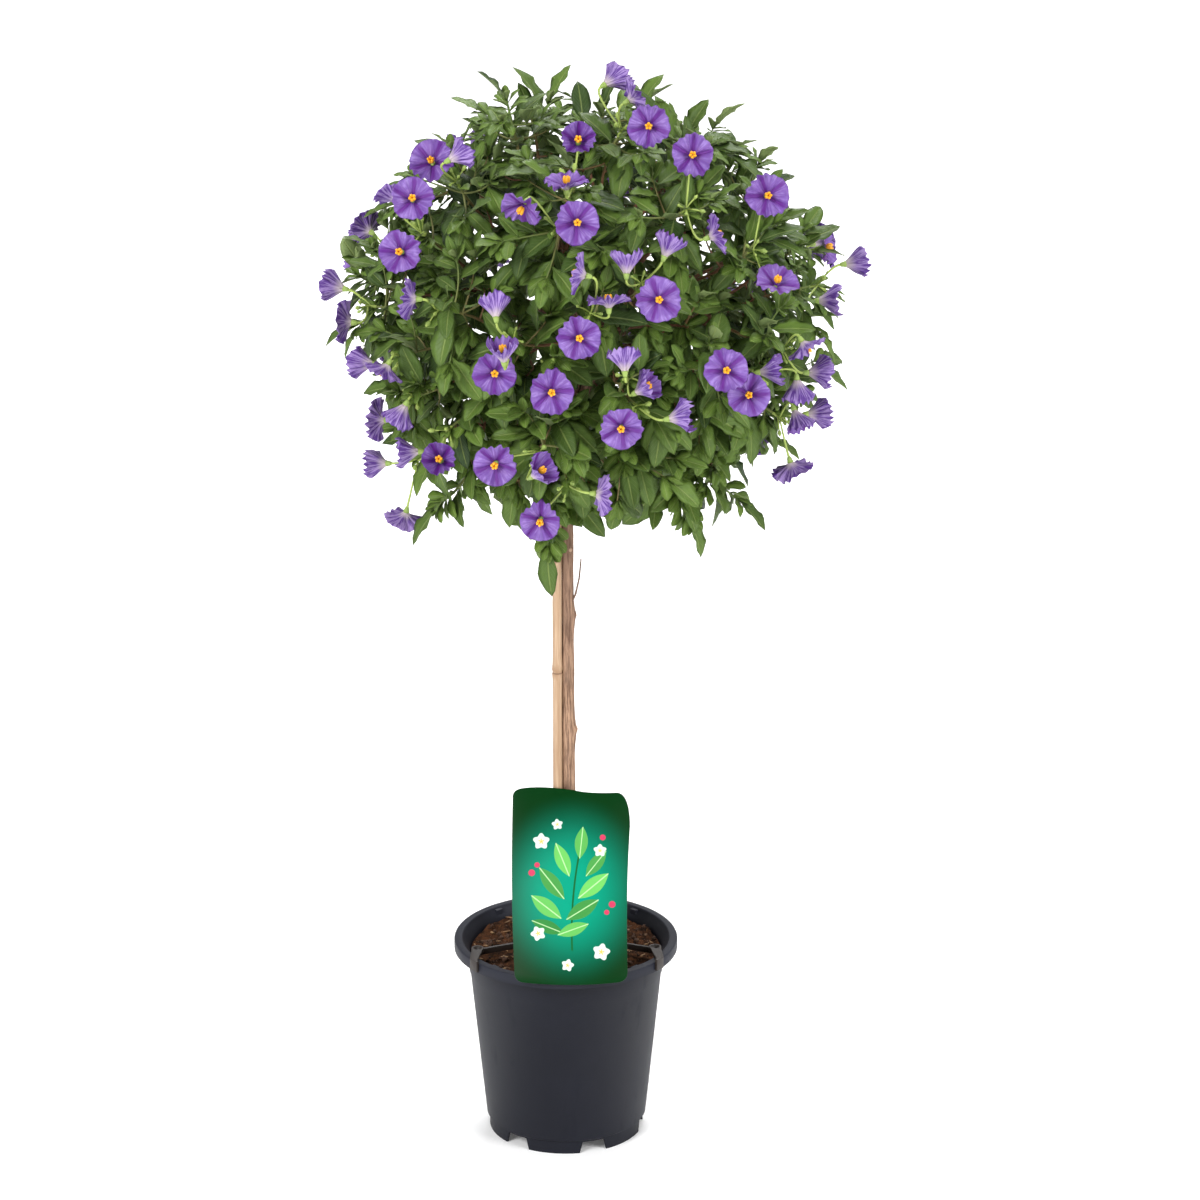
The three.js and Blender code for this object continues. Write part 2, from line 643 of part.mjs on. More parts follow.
// On the far side the sprays follow a rule: two blooms each, spread evenly.
function backSprays(stems) {
  const places = spread(2 * BACK_SPRAYS + 6, -0.75, 0.85, 2.1).filter((way) => way.y > 0.18);
  return places.slice(0, BACK_SPRAYS).map((way, index) => {
    const number = FRONT_SPRAYS.length + index;
    const draw = draws(900 + index);
    const [first, second] = frameAlong(way);
    const wanted = [-1, 1].map((side) => {
      const centre = crownPoint(way, 0.99 + 0.05 * draw());
      centre.addScaledVector(first, side * (13 + 6 * draw()));
      centre.addScaledVector(second, side * 12 * (draw() - 0.3));
      const facing = outwardAt(centre).addScaledVector(first, side * 0.5);
      return { centre, facing, open: draw() < 0.75 };
    });
    return growSpray(stems, wanted, number);
  });
}

function growFreeShoots(stems) {
  SPRIGS.forEach(([x, y, z], index) => {
    const tip = new THREE.Vector3(x, y, z);
    addShoot(stems, tip, outwardAt(tip).add(new THREE.Vector3(0, 0, 0.35)).normalize(), 300 + index, false);
  });
  spread(FREE_SHOOTS, -0.85, 0.9, 4).forEach((way, index) => {
    const draw = draws(400 + index);
    addShoot(stems, crownPoint(way, 0.66 + 0.14 * draw()), way, 340 + index, false);
  });
}

// Half the width of a blade, as a share of its full width, at a share of its length.
function bladeHalf(share) {
  return 0.5 * Math.sin(Math.PI * Math.min(1, share) ** 0.9) ** 0.65;
}

// A point of a leaf: `share` along it, `across` from -1 to 1, on its middle surface.
function leafPoint(leaf, share, across) {
  const half = leaf.width * bladeHalf(share);
  const raised = leaf.fold * half * Math.abs(across) - leaf.droop * leaf.length * share * share;
  return leaf.base.clone()
    .addScaledVector(leaf.along, leaf.length * share)
    .addScaledVector(leaf.side, half * across)
    .addScaledVector(leaf.up, raised);
}

function leafBoxes(leaf) {
  const stations = [0.14, ...LEAF_STATIONS, 1];
  const rows = stations.map((share) => [-1, 0, 1].map((across) => leafPoint(leaf, share, across)));
  const boxes = [[0, 1, 2], [2, 3, 4]].map((part) => {
    const points = part.flatMap((row) => rows[row]);
    const along = rows[part[2]][1].clone().sub(rows[part[0]][1]).normalize();
    const up = new THREE.Vector3().crossVectors(leaf.side, along);
    return boxRound(points, [leaf.side, up, along], LEAF_THICKNESS / 2 + CLEARANCE);
  });
  const stalk = rodBoxes([leaf.base, rows[0][1]], 1.8)[0];
  return { blade: boxes, stalk };
}

function leafAt(shoot, share, turn, tilt, length, draw) {
  const { spot: base, heading } = alongStretches(shoot.points, share);
  const [first, second] = frameAlong(heading);
  const sideways = first.multiplyScalar(Math.cos(turn)).addScaledVector(second, Math.sin(turn));
  const along = heading.clone().multiplyScalar(Math.cos(tilt)).addScaledVector(sideways, Math.sin(tilt));
  along.z -= 0.18;
  along.normalize();
  const up = outwardAt(base).multiplyScalar(0.6).add(new THREE.Vector3(0, -0.1, 0.7));
  up.addScaledVector(along, -up.dot(along)).normalize();
  const side = new THREE.Vector3().crossVectors(along, up);
  const width = length * (0.4 + 0.1 * draw());
  const fold = 0.25 + 0.2 * draw();
  const droop = 0.05 + 0.22 * draw();
  return { base, along, up, side, length, width, fold, droop };
}

function growLeaves(stems) {
  const shoots = stems.flatMap((stem) => stem.shoots);
  for (let round = 0; round < LEAVES_A_FREE_SHOOT; round++) {
    for (const shoot of shoots) {
      if (shoot.blooming && round >= LEAVES_A_BLOOM_SHOOT) continue;
      const draw = draws(2000 + shoot.seed * 8 + round);
      const share = (shoot.blooming ? 0.92 : 0.99) - round * (shoot.blooming ? 0.2 : 0.15);
      const length = (LEAF_LENGTH + LEAF_GROWTH * draw()) * (share > 0.97 ? 0.85 : 1);
      for (let attempt = 0; attempt < 14; attempt++) {
        const turn = round * 2.4 + shoot.seed + attempt * 1.1;
        const tilt = share > 0.97 ? 0.25 * draw() : 0.75 + 0.45 * draw();
        const leaf = leafAt(shoot, share, turn, tilt, length, draw);
        const { blade, stalk } = leafBoxes(leaf);
        if (!isClear([...blade, stalk], (other) => other.shoot === shoot)) continue;
        take(blade, shoot.owner);
        take([stalk], shoot.owner, shoot);
        stems[shoot.owner].leaves.push(leaf);
        break;
      }
    }
  }
}

function faceted(spots, faces) {
  const positions = new Float32Array(spots.flatMap((spot) => [spot.x, spot.y, spot.z]));
  return new THREE.BufferGeometry()
    .setAttribute("position", new THREE.BufferAttribute(positions, 3))
    .setIndex(faces);
}

// A leaf blade: at each station its right edge, its left edge and the keel under its midrib.
function leafSolid(leaf) {
  const stations = leaf.length < SMALL_LEAF ? SMALL_LEAF_STATIONS : LEAF_STATIONS;
  const spots = [leaf.base];
  stations.forEach((share) => {
    spots.push(leafPoint(leaf, share, 1), leafPoint(leaf, share, -1));
    spots.push(leafPoint(leaf, share, 0).addScaledVector(leaf.up, -LEAF_THICKNESS));
  });
  spots.push(leafPoint(leaf, 1, 0));
  const last = spots.length - 1;
  const faces = [];
  for (let side = 0; side < 3; side++) {
    const [a, b] = [1 + side, 1 + ((side + 1) % 3)];
    faces.push(0, a, b, last, last - 3 + ((side + 1) % 3), last - 3 + side);
    for (let row = 0; row < stations.length - 1; row++) {
      const [low, next] = [a + 3 * row, b + 3 * row];
      faces.push(low, low + 3, next, next, low + 3, next + 3);
    }
  }
  return solid(faceted(spots, faces));
}

// Joins an outer ring of points to an inner one that may have fewer.
function bridge(outer, inner) {
  const partner = (step) => inner[Math.floor(((step % outer.length) * inner.length) / outer.length)];
  return outer.flatMap((spot, step) => {
    const next = outer[(step + 1) % outer.length];
    const faces = [spot, next, partner(step)];
    if (partner(step + 1) !== partner(step)) faces.push(next, partner(step + 1), partner(step));
    return faces;
  });
}

// A bloom on its pedicel: a shallow five-lobed funnel with a throat and a spike of anthers.
function bloomSolid(bloom, stalkRoot) {
  const { centre, along, across, side, radius, back, size } = bloom;
  const at = (reach, angle, height) => centre.clone()
    .addScaledVector(across, reach * Math.cos(angle))
    .addScaledVector(side, reach * Math.sin(angle))
    .addScaledVector(along, height);
  const rim = Array.from({ length: 10 }, (_, step) => {
    const lobe = step % 2 === 0;
    return at(radius * (lobe ? 1 : 0.88), (step * Math.PI) / 5, lobe ? -0.6 : 1.2);
  });
  const throat = Array.from({ length: 5 }, (_, step) =>
    at(THROAT_RADIUS, (step * 2 * Math.PI) / 5, -size.throat));
  const heading = back.clone().sub(stalkRoot).normalize();
  const first = across.clone().addScaledVector(heading, -across.dot(heading)).normalize();
  const second = new THREE.Vector3().crossVectors(heading, first);
  const stalk = (spot, reach) => Array.from({ length: 3 }, (_, step) => spot.clone()
    .addScaledVector(first, reach * Math.cos((step * 2 * Math.PI) / 3))
    .addScaledVector(second, reach * Math.sin((step * 2 * Math.PI) / 3)));
  const neck = stalk(back, 1.4 * PEDICEL_RADIUS);
  const root = stalk(stalkRoot, PEDICEL_RADIUS);
  const spots = [at(0, 0, size.anthers), ...throat, ...rim, ...neck, ...root];
  const ring = (start, count) => Array.from({ length: count }, (_, step) => start + step);
  const [inner, outer, collar, foot] = [ring(1, 5), ring(6, 10), ring(16, 3), ring(19, 3)];
  const cup = bridge(outer, inner);
  const shell = [...bridge(outer, collar), ...bridge(collar, foot), ...foot].reverse();
  const spike = inner.flatMap((spot, step) => [0, spot, inner[(step + 1) % inner.length]]);
  return solid(faceted(spots, [...spike, ...cup, ...shell]));
}

function leafyStemSolid(stem) {
  const axis = straightTube(stem.root, stem.end, STEM_RADIUS, 5);
  const shoots = stem.shoots.map((shoot) => tube(shoot.curve, SHOOT_RADIUS, 3, STRETCHES));
  return joined([axis, ...shoots, ...stem.leaves.map(leafSolid)]);
}

function spraySolid(spray) {
  const peduncle = straightTube(spray.start, spray.peduncleTip, PEDUNCLE_RADIUS, 4);
  const inside = spray.peduncleTip.clone().addScaledVector(spray.along, -1);
  return joined([peduncle, ...spray.blooms.map((bloom) => bloomSolid(bloom, inside))]);
}

// The assembly.

const trunkLine = [TRUNK_FOOT, TRUNK_TOP];
const caneLine = [CANE_FOOT, CANE_TOP].map((height) => new THREE.Vector3(...CANE_AXIS, height));
take(rodBoxes(trunkLine, TRUNK_FOOT_RADIUS + CLEARANCE), "trunk");
take(rodBoxes(caneLine, CANE_RADIUS + 0.5 + CLEARANCE), "cane");
const stems = growStems();
const sprays = [...frontSprays(stems), ...backSprays(stems)];
growFreeShoots(stems);
growLeaves(stems);

const plant = new THREE.Group();

function addPart(name, solidPart, color, roughness) {
  const material = new THREE.MeshStandardMaterial({ color, roughness, metalness: 0 });
  const mesh = new THREE.Mesh(geometryOf(solidPart), material);
  mesh.name = name;
  plant.add(mesh);
}

addPart("pot", potSolid(), 0x35363f, 0.42);
addPart("soil", soilSolid(), 0x3c2314, 0.95);
addPart("trunk", trunkSolid(stems.map((stem) => stem.limb)), 0xa58269, 0.85);
addPart("cane", caneSolid(), 0xdeb88c, 0.6);
addPart("plant_label", labelSolid(), 0x00886a, 0.35);
addPart("pot_clip", clipSolid(), 0x2d2623, 0.5);
const numbered = (word, index) => word + "_" + String(index + 1).padStart(2, "0");
stems.forEach((stem, index) => {
  addPart(numbered("leafy_stem", index), leafyStemSolid(stem), 0x3f5a2c, 0.6);
});
sprays.filter(Boolean).forEach((spray, index) => {
  addPart(numbered("bloom_spray", index), spraySolid(spray), 0x8a5fd0, 0.6);
});

export default plant;
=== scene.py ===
# A potted blue potato bush, grown as a small standard tree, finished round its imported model.
# Blender's metres, +Z up, -Y at the front. From the trunk on, sizes are given in millimetres, as in
# the part's source, and are brought to metres where the meshes are made.
import math

import bpy
import numpy as np
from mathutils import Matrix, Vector, noise


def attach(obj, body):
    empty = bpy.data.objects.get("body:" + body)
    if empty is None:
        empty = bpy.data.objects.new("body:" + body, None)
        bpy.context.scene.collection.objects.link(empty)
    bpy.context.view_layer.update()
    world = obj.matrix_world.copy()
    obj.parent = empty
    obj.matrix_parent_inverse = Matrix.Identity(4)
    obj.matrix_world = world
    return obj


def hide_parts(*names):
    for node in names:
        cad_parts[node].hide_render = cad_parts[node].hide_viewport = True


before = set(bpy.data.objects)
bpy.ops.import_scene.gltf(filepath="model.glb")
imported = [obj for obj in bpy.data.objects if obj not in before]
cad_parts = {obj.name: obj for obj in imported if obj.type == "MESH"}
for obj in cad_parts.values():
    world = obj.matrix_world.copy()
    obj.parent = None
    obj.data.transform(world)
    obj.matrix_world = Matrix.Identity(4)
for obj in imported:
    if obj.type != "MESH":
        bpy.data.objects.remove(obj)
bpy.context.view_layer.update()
bpy.ops.object.select_all(action="DESELECT")


# The camera stands where the photograph's stood: three metres off, a little above the plant's
# top, and looks down on the mouth of the pot.
CAMERA_PLACE = (0.026, -2.782, 1.316)
CAMERA_PITCH = 17.8
CAMERA_LENS = 118.3
CAMERA_SENSOR = 36

bpy.ops.object.camera_add(location=CAMERA_PLACE, rotation=(math.radians(90 - CAMERA_PITCH), 0, 0))
camera = bpy.context.object
camera.data.lens = CAMERA_LENS
camera.data.sensor_width = CAMERA_SENSOR
bpy.context.scene.camera = camera
bpy.context.scene.view_settings.view_transform = "Standard"


# The studio: a wide white floor, a pale sky that is white just over the horizon, and three soft
# lamps, of which the two at the sides draw the long highlights on the pot.
FLOOR_WIDTH = 60
FLOOR_GLOW = 0.75
FLOOR_GLOW_FROM, FLOOR_GLOW_TO = 0.6, 3
SKY_STRENGTH = 0.39
HORIZON_STRENGTH = 1.1
HORIZON_RISE = (0.15, 0.22)
LAMPS = [
    {"place": (-2.2, -2.6, 2.6), "size": 1.5, "watts": 132},
    {"place": (2.6, -1.9, 2.0), "size": 1.3, "watts": 74},
    {"place": (0.4, 1.7, 3.0), "size": 1.6, "watts": 80},
]
LAMP_TARGET = Vector((0, 0, 0.45))

bpy.ops.mesh.primitive_plane_add(size=FLOOR_WIDTH)
floor = bpy.context.object
floor.name = "floor"
for lamp in LAMPS:
    aim = (LAMP_TARGET - Vector(lamp["place"])).to_track_quat("-Z", "Y").to_euler()
    bpy.ops.object.light_add(type="AREA", location=lamp["place"], rotation=aim)
    bpy.context.object.data.size = lamp["size"]
    bpy.context.object.data.energy = lamp["watts"]
sky = bpy.data.worlds.new("sky")
sky.use_nodes = True
backdrop = sky.node_tree.nodes["Background"]
backdrop.inputs["Color"].default_value = (1, 1, 1, 1)
directions = sky.node_tree.nodes.new("ShaderNodeTexCoord")
axes = sky.node_tree.nodes.new("ShaderNodeSeparateXYZ")
fade = sky.node_tree.nodes.new("ShaderNodeMapRange")
fade_levels = (*HORIZON_RISE, HORIZON_STRENGTH, SKY_STRENGTH)
for socket, level in zip(("From Min", "From Max", "To Min", "To Max"), fade_levels):
    fade.inputs[socket].default_value = level
sky.node_tree.links.new(directions.outputs["Generated"], axes.inputs[0])
sky.node_tree.links.new(axes.outputs["Z"], fade.inputs["Value"])
sky.node_tree.links.new(fade.outputs["Result"], backdrop.inputs["Strength"])
bpy.context.scene.world = sky


def linear(red, green, blue):
    """A colour given as on a screen, 0 to 255, in the renderer's own linear values."""
    shares = (value / 255 for value in (red, green, blue))
    return (*(s / 12.92 if s <= 0.04045 else ((s + 0.055) / 1.055) ** 2.4 for s in shares), 1)


class Value:
    """An output socket; sums, products and powers of it add Math nodes to its material."""

    def __init__(self, finish, socket):
        self.finish = finish
        self.socket = socket

    def math(self, operation, first, second):
        return self.finish.node("ShaderNodeMath", {"operation": operation}, {0: first, 1: second})

    def __add__(self, other):
        return self.math("ADD", self, other)

    def __radd__(self, other):
        return self.math("ADD", other, self)

    def __sub__(self, other):
        return self.math("SUBTRACT", self, other)

    def __rsub__(self, other):
        return self.math("SUBTRACT", other, self)

    def __mul__(self, other):
        return self.math("MULTIPLY", self, other)

    def __rmul__(self, other):
        return self.math("MULTIPLY", other, self)

    def __truediv__(self, other):
        return self.math("DIVIDE", self, other)

    def __pow__(self, other):
        return self.math("POWER", self, other)

    def above(self, level):
        return self.math("GREATER_THAN", self, level)

    def wave(self):
        return self.math("SINE", self, 0)

    def size(self):
        return self.math("ABSOLUTE", self, 0)

    def step(self, low, high):
        """0 at `low` and 1 at `high`, with a smooth rise between them."""
        settings = {"interpolation_type": "SMOOTHSTEP"}
        return self.finish.node("ShaderNodeMapRange", settings,
                                {"Value": self, "From Min": low, "From Max": high})


class Finish:
    """A material round one Principled shader."""

    def __init__(self, name, **sockets):
        self.material = bpy.data.materials.new(name)
        self.material.use_nodes = True
        self.tree = self.material.node_tree
        self.shader = self.tree.nodes["Principled BSDF"]
        for socket, value in sockets.items():
            self.shader.inputs[socket.replace("_", " ")].default_value = value

    def node(self, kind, settings, sockets, output=0):
        made = self.tree.nodes.new(kind)
        for setting, value in settings.items():
            setattr(made, setting, value)
        for socket, value in sockets.items():
            self.feed(made.inputs[socket], value)
        return Value(self, made.outputs[output])

    def feed(self, socket, value):
        if isinstance(value, Value):
            self.tree.links.new(value.socket, socket)
        else:
            socket.default_value = value

    def set(self, socket, value):
        self.feed(self.shader.inputs[socket], value)

    def mix(self, share, first, second):
        """The colour `first` where the share is 0 and `second` where it is 1."""
        return self.node("ShaderNodeMix", {"data_type": "RGBA"}, {0: share, 6: first, 7: second}, 2)

    def place(self):
        """Where a point is on the object, in metres."""
        return self.node("ShaderNodeTexCoord", {}, {}, "Object")

    def across(self):
        """The piece's own UV map, as its two numbers."""
        coordinates = self.node("ShaderNodeUVMap", {"uv_map": "UVMap"}, {})
        return self.parts(coordinates)[:2]

    def parts(self, vector):
        split = self.node("ShaderNodeSeparateXYZ", {}, {0: vector})
        return [Value(self, output) for output in split.socket.node.outputs]

    def tone(self):
        """The number from 0 to 1 that each copy of a repeated form carries."""
        return self.node("ShaderNodeAttribute", {"attribute_name": "tone"}, {}, "Fac")

    def stretched(self, x, y, z):
        """The place, which draws a pattern out along each axis whose number is below 1."""
        return self.node("ShaderNodeMapping", {}, {"Vector": self.place(), "Scale": (x, y, z)})

    def noise(self, vector, scale, detail=2, roughness=0.5):
        sockets = {"Vector": vector, "Scale": scale, "Detail": detail, "Roughness": roughness}
        return self.node("ShaderNodeTexNoise", {}, sockets)

    def bump(self, height, distance, strength=1):
        sockets = {"Height": height, "Distance": distance, "Strength": strength}
        self.set("Normal", self.node("ShaderNodeBump", {}, sockets))


floor_finish = Finish("white_floor", Base_Color=linear(252, 252, 252), Roughness=0.9)
floor_finish.set("Specular IOR Level", 0.1)
floor_x, floor_y, _ = floor_finish.parts(floor_finish.place())
far = ((floor_x * floor_x + floor_y * floor_y) ** 0.5).step(FLOOR_GLOW_FROM, FLOOR_GLOW_TO)
floor_finish.set("Emission Color", floor_finish.mix(far, (0.1, 0.1, 0.1, 1), (1, 1, 1, 1)))
floor_finish.set("Emission Strength", FLOOR_GLOW)
floor.data.materials.append(floor_finish.material)


# The pot: thin polypropylene, injection moulded in one shot. The wall tapers and has a fine step
# under the lip, the lip turns down over four ribs, and the foot ring has six drain notches.
POT_HEIGHT = 0.1546
POT_CORNERS = 112
RIM_RADIUS = 0.085
MOUTH_RADIUS = 0.0785
LIP_HEIGHT = 0.008
LIP_WALL = 0.0017
SHOULDER_RADIUS = 0.0755
FOOT_RADIUS = 0.061
POT_WALL = 0.0018
BAND_HEIGHT = 0.129
BAND_STEP = 0.0007
FOOT_STEP_HEIGHT = 0.01
FOOT_STEP = 0.002
FLOOR_UNDERSIDE = 0.01
FLOOR_TOP = 0.012
CENTRE_FOOT_RADIUS = 0.009
NOTCH_COUNT = 6
NOTCH_BASE = 0.022
NOTCH_TOP = 0.017
NOTCH_HEIGHT = 0.009
NOTCH_TURN = 21
RIB_TURN = 43
NOTCH_DEPTH = 0.01
LIP_THICKNESS = 0.0024
RIB_SIZE = (0.006, 0.008, 0.0045)
RIB_REACH = 0.0038
RIB_RISE = 0.0042
EDGE_ROUNDING = 0.0004


def select_only(*pieces):
    """Selects the pieces and makes the first one active."""
    bpy.ops.object.select_all(action="DESELECT")
    for piece in pieces:
        piece.select_set(True)
    bpy.context.view_layer.objects.active = pieces[0]


def edit_all():
    """Starts edit mode with all of the active object's mesh selected."""
    bpy.ops.object.mode_set(mode="EDIT")
    bpy.ops.mesh.select_all(action="SELECT")


def close_shell():
    """Turns all faces of the edited mesh outwards and leaves edit mode."""
    bpy.ops.mesh.select_all(action="SELECT")
    bpy.ops.mesh.normals_make_consistent(inside=False)
    bpy.ops.object.mode_set(mode="OBJECT")


def name_piece(name):
    piece = bpy.context.object
    piece.name = name
    piece.data.name = name
    return piece


def settle():
    """Puts the active object's place, turn and size into its mesh."""
    bpy.ops.object.transform_apply(location=True, rotation=True, scale=True)


def turned_piece(name, profile, corners):
    """A closed round piece: a ring that is extruded and resized along the profile."""
    radius, height = profile[0]
    bpy.ops.mesh.primitive_circle_add(vertices=corners, radius=radius, location=(0, 0, height))
    piece = name_piece(name)
    settle()
    edit_all()
    for next_radius, next_height in profile[1:]:
        rise = {"value": (0, 0, next_height - height)}
        bpy.ops.mesh.extrude_region_move(TRANSFORM_OT_translate=rise)
        share = next_radius / radius
        bpy.ops.transform.resize(value=(share, share, 1), center_override=(0, 0, 0))
        radius, height = next_radius, next_height
    bpy.ops.mesh.select_all(action="SELECT")
    bpy.ops.mesh.fill_holes(sides=0)
    close_shell()
    return piece


def use_modifier(piece, kind, **settings):
    """Adds a modifier to the piece and applies it."""
    modifier = piece.modifiers.new(kind.lower(), kind)
    for setting, value in settings.items():
        setattr(modifier, setting, value)
    select_only(piece)
    bpy.ops.object.modifier_apply(modifier=modifier.name)


def round_edges(piece, width, angle):
    """Bevels the edges that are sharper than the angle in degrees."""
    use_modifier(piece, "BEVEL", width=width, segments=2, limit_method="ANGLE",
                 angle_limit=math.radians(angle))


def combine(piece, other, operation):
    """Joins another solid to the piece or cuts it away, and removes the other."""
    use_modifier(piece, "BOOLEAN", object=other, operation=operation, solver="EXACT")
    bpy.data.objects.remove(other)


def smooth(piece, angle=35):
    select_only(piece)
    bpy.ops.object.shade_smooth_by_angle(angle=math.radians(angle))


def dress(piece, slot, *finishes):
    """Gives the piece its materials and makes it ride with the plant."""
    for finish in finishes:
        piece.data.materials.append(finish.material)
    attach(piece, "root")


def wall_radius(height):
    rise = (height - FOOT_STEP_HEIGHT) / (POT_HEIGHT - LIP_HEIGHT - FOOT_STEP_HEIGHT)
    return FOOT_RADIUS + (SHOULDER_RADIUS - FOOT_RADIUS) * rise


lip_bottom = POT_HEIGHT - LIP_HEIGHT
foot_inside = FOOT_RADIUS - FOOT_STEP - POT_WALL
pot = turned_piece("pot_shell", [
    (CENTRE_FOOT_RADIUS, 0),
    (CENTRE_FOOT_RADIUS, FLOOR_UNDERSIDE),
    (foot_inside, FLOOR_UNDERSIDE),
    (foot_inside, 0),
    (FOOT_RADIUS - FOOT_STEP, 0),
    (FOOT_RADIUS - FOOT_STEP, FOOT_STEP_HEIGHT),
    (wall_radius(FOOT_STEP_HEIGHT + 0.0015), FOOT_STEP_HEIGHT + 0.0015),
    (wall_radius(BAND_HEIGHT) - BAND_STEP, BAND_HEIGHT - 0.001),
    (wall_radius(BAND_HEIGHT), BAND_HEIGHT),
    (SHOULDER_RADIUS, lip_bottom),
    (RIM_RADIUS - LIP_WALL - 0.0025, POT_HEIGHT - LIP_THICKNESS),
    (RIM_RADIUS - LIP_WALL, POT_HEIGHT - LIP_THICKNESS),
    (RIM_RADIUS - LIP_WALL, lip_bottom),
    (RIM_RADIUS, lip_bottom),
    (RIM_RADIUS, POT_HEIGHT - 0.0014),
    (RIM_RADIUS - 0.0004, POT_HEIGHT - 0.0004),
    (RIM_RADIUS - 0.0014, POT_HEIGHT),
    (MOUTH_RADIUS + 0.0008, POT_HEIGHT),
    (MOUTH_RADIUS, POT_HEIGHT - 0.0006),
    (MOUTH_RADIUS - 0.0003, POT_HEIGHT - 0.0022),
    (SHOULDER_RADIUS - POT_WALL, lip_bottom + 0.0006),
    (wall_radius(FLOOR_TOP) - POT_WALL, FLOOR_TOP),
], POT_CORNERS)
for index in range(NOTCH_COUNT):
    turn = math.radians(NOTCH_TURN + 360 / NOTCH_COUNT * index)
    bpy.ops.mesh.primitive_cube_add(size=1)
    cutter = bpy.context.object
    for corner in cutter.data.vertices:
        top = corner.co.z > 0
        width = NOTCH_TOP if top else NOTCH_BASE
        corner.co = (corner.co.x * width, corner.co.y * NOTCH_DEPTH - FOOT_RADIUS + 0.003,
                     NOTCH_HEIGHT if top else -0.001)
    cutter.rotation_euler.z = turn
    combine(pot, cutter, "DIFFERENCE")
for degrees in (-RIB_TURN, RIB_TURN, 180 - RIB_TURN, 180 + RIB_TURN):
    turn = math.radians(degrees)
    reach = SHOULDER_RADIUS + RIB_REACH
    bpy.ops.mesh.primitive_cube_add(
        size=1, location=(reach * math.sin(turn), -reach * math.cos(turn), lip_bottom + RIB_RISE),
        rotation=(0, 0, turn), scale=RIB_SIZE)
    combine(pot, bpy.context.object, "UNION")
round_edges(pot, EDGE_ROUNDING, 38)
smooth(pot)

plastic = Finish("slate_plastic")
scuffs = plastic.noise(plastic.stretched(1, 1, 0.35), 55, 5, 0.65)
cloud = plastic.noise(plastic.place(), 14, 3)
slate = plastic.mix(cloud.step(0.3, 0.75), linear(16, 18, 28), linear(21, 23, 33))
# From the lip's underside up the plastic is painted lighter: painted light falling on the lip's top and
# outer face.
painted_lip_light = (plastic.parts(plastic.place())[2] / lip_bottom - 1).step(-0.02, 0.03)
plastic.set("Base Color", plastic.mix(painted_lip_light * 0.75, slate, linear(38, 40, 50)))
plastic.set("Specular IOR Level", 0.2)
plastic.set("Roughness", 0.48 + 0.1 * cloud + 0.12 * scuffs.step(0.55, 0.8))
plastic.bump(plastic.noise(plastic.place(), 900, 2), 0.00006, 0.6)
dress(pot, "pot_plastic", plastic)
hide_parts("pot")


# The peat: dark and loose, filled to a finger below the rim, with lighter bark fibres, crumbs and
# a few pale chips on it. Its sides follow the inside of the pot.
SOIL_TOP = 0.1455
SOIL_GAP = 0.0003
SOIL_RINGS = 46
LUMP_HEIGHT = 0.0011
FULL_TURN = 2 * math.pi
PEAT_CORNERS = 120
CRUMB_COUNT = 420
CHIP_COUNT = 110
CHIP_THICKNESS = 0.0005
CRUMB_SHAPE = np.array([1.3, 1, 0.8])


def soil_lump(x, y):
    """How far the peat's surface stands over its level, in metres."""
    broad = math.sin(210 * x + 1) * math.cos(170 * y) + math.sin(90 * x - 130 * y)
    fine = noise.noise(Vector((x, y, 0)) * 160) + 0.5 * noise.noise(Vector((x, y, 4)) * 420)
    return LUMP_HEIGHT * (broad + 1.5 * fine)


def soil_wall(height):
    return wall_radius(height) - POT_WALL - BAND_STEP - SOIL_GAP


top_radius = soil_wall(SOIL_TOP - 0.002)
profile = [(soil_wall(FLOOR_TOP), FLOOR_TOP + SOIL_GAP), (top_radius, SOIL_TOP - 0.002)]
for ring in range(1, SOIL_RINGS + 1):
    profile.append((top_radius * (1 - ring / (SOIL_RINGS + 1)), SOIL_TOP))
peat = turned_piece("peat", profile, PEAT_CORNERS)
for spot in peat.data.vertices:
    if spot.co.z > SOIL_TOP - 0.001:
        spot.co.z += soil_lump(spot.co.x, spot.co.y)


def add_object(name, data):
    made = bpy.data.objects.new(name, data)
    bpy.context.scene.collection.objects.link(made)
    return made


def form_of(piece):
    """A modelled form as numbers: its points, its faces' corners and sizes, and a UV map of zeros."""
    mesh = piece.data
    points = np.empty(len(mesh.vertices) * 3, np.float32)
    corners = np.empty(len(mesh.loops), np.int32)
    sizes = np.empty(len(mesh.polygons), np.int32)
    mesh.vertices.foreach_get("co", points)
    mesh.loops.foreach_get("vertex_index", corners)
    mesh.polygons.foreach_get("loop_total", sizes)
    bpy.data.objects.remove(piece)
    return {"points": points.reshape(-1, 3).astype(float), "corners": corners, "sizes": sizes,
            "map": np.zeros((len(corners), 2))}


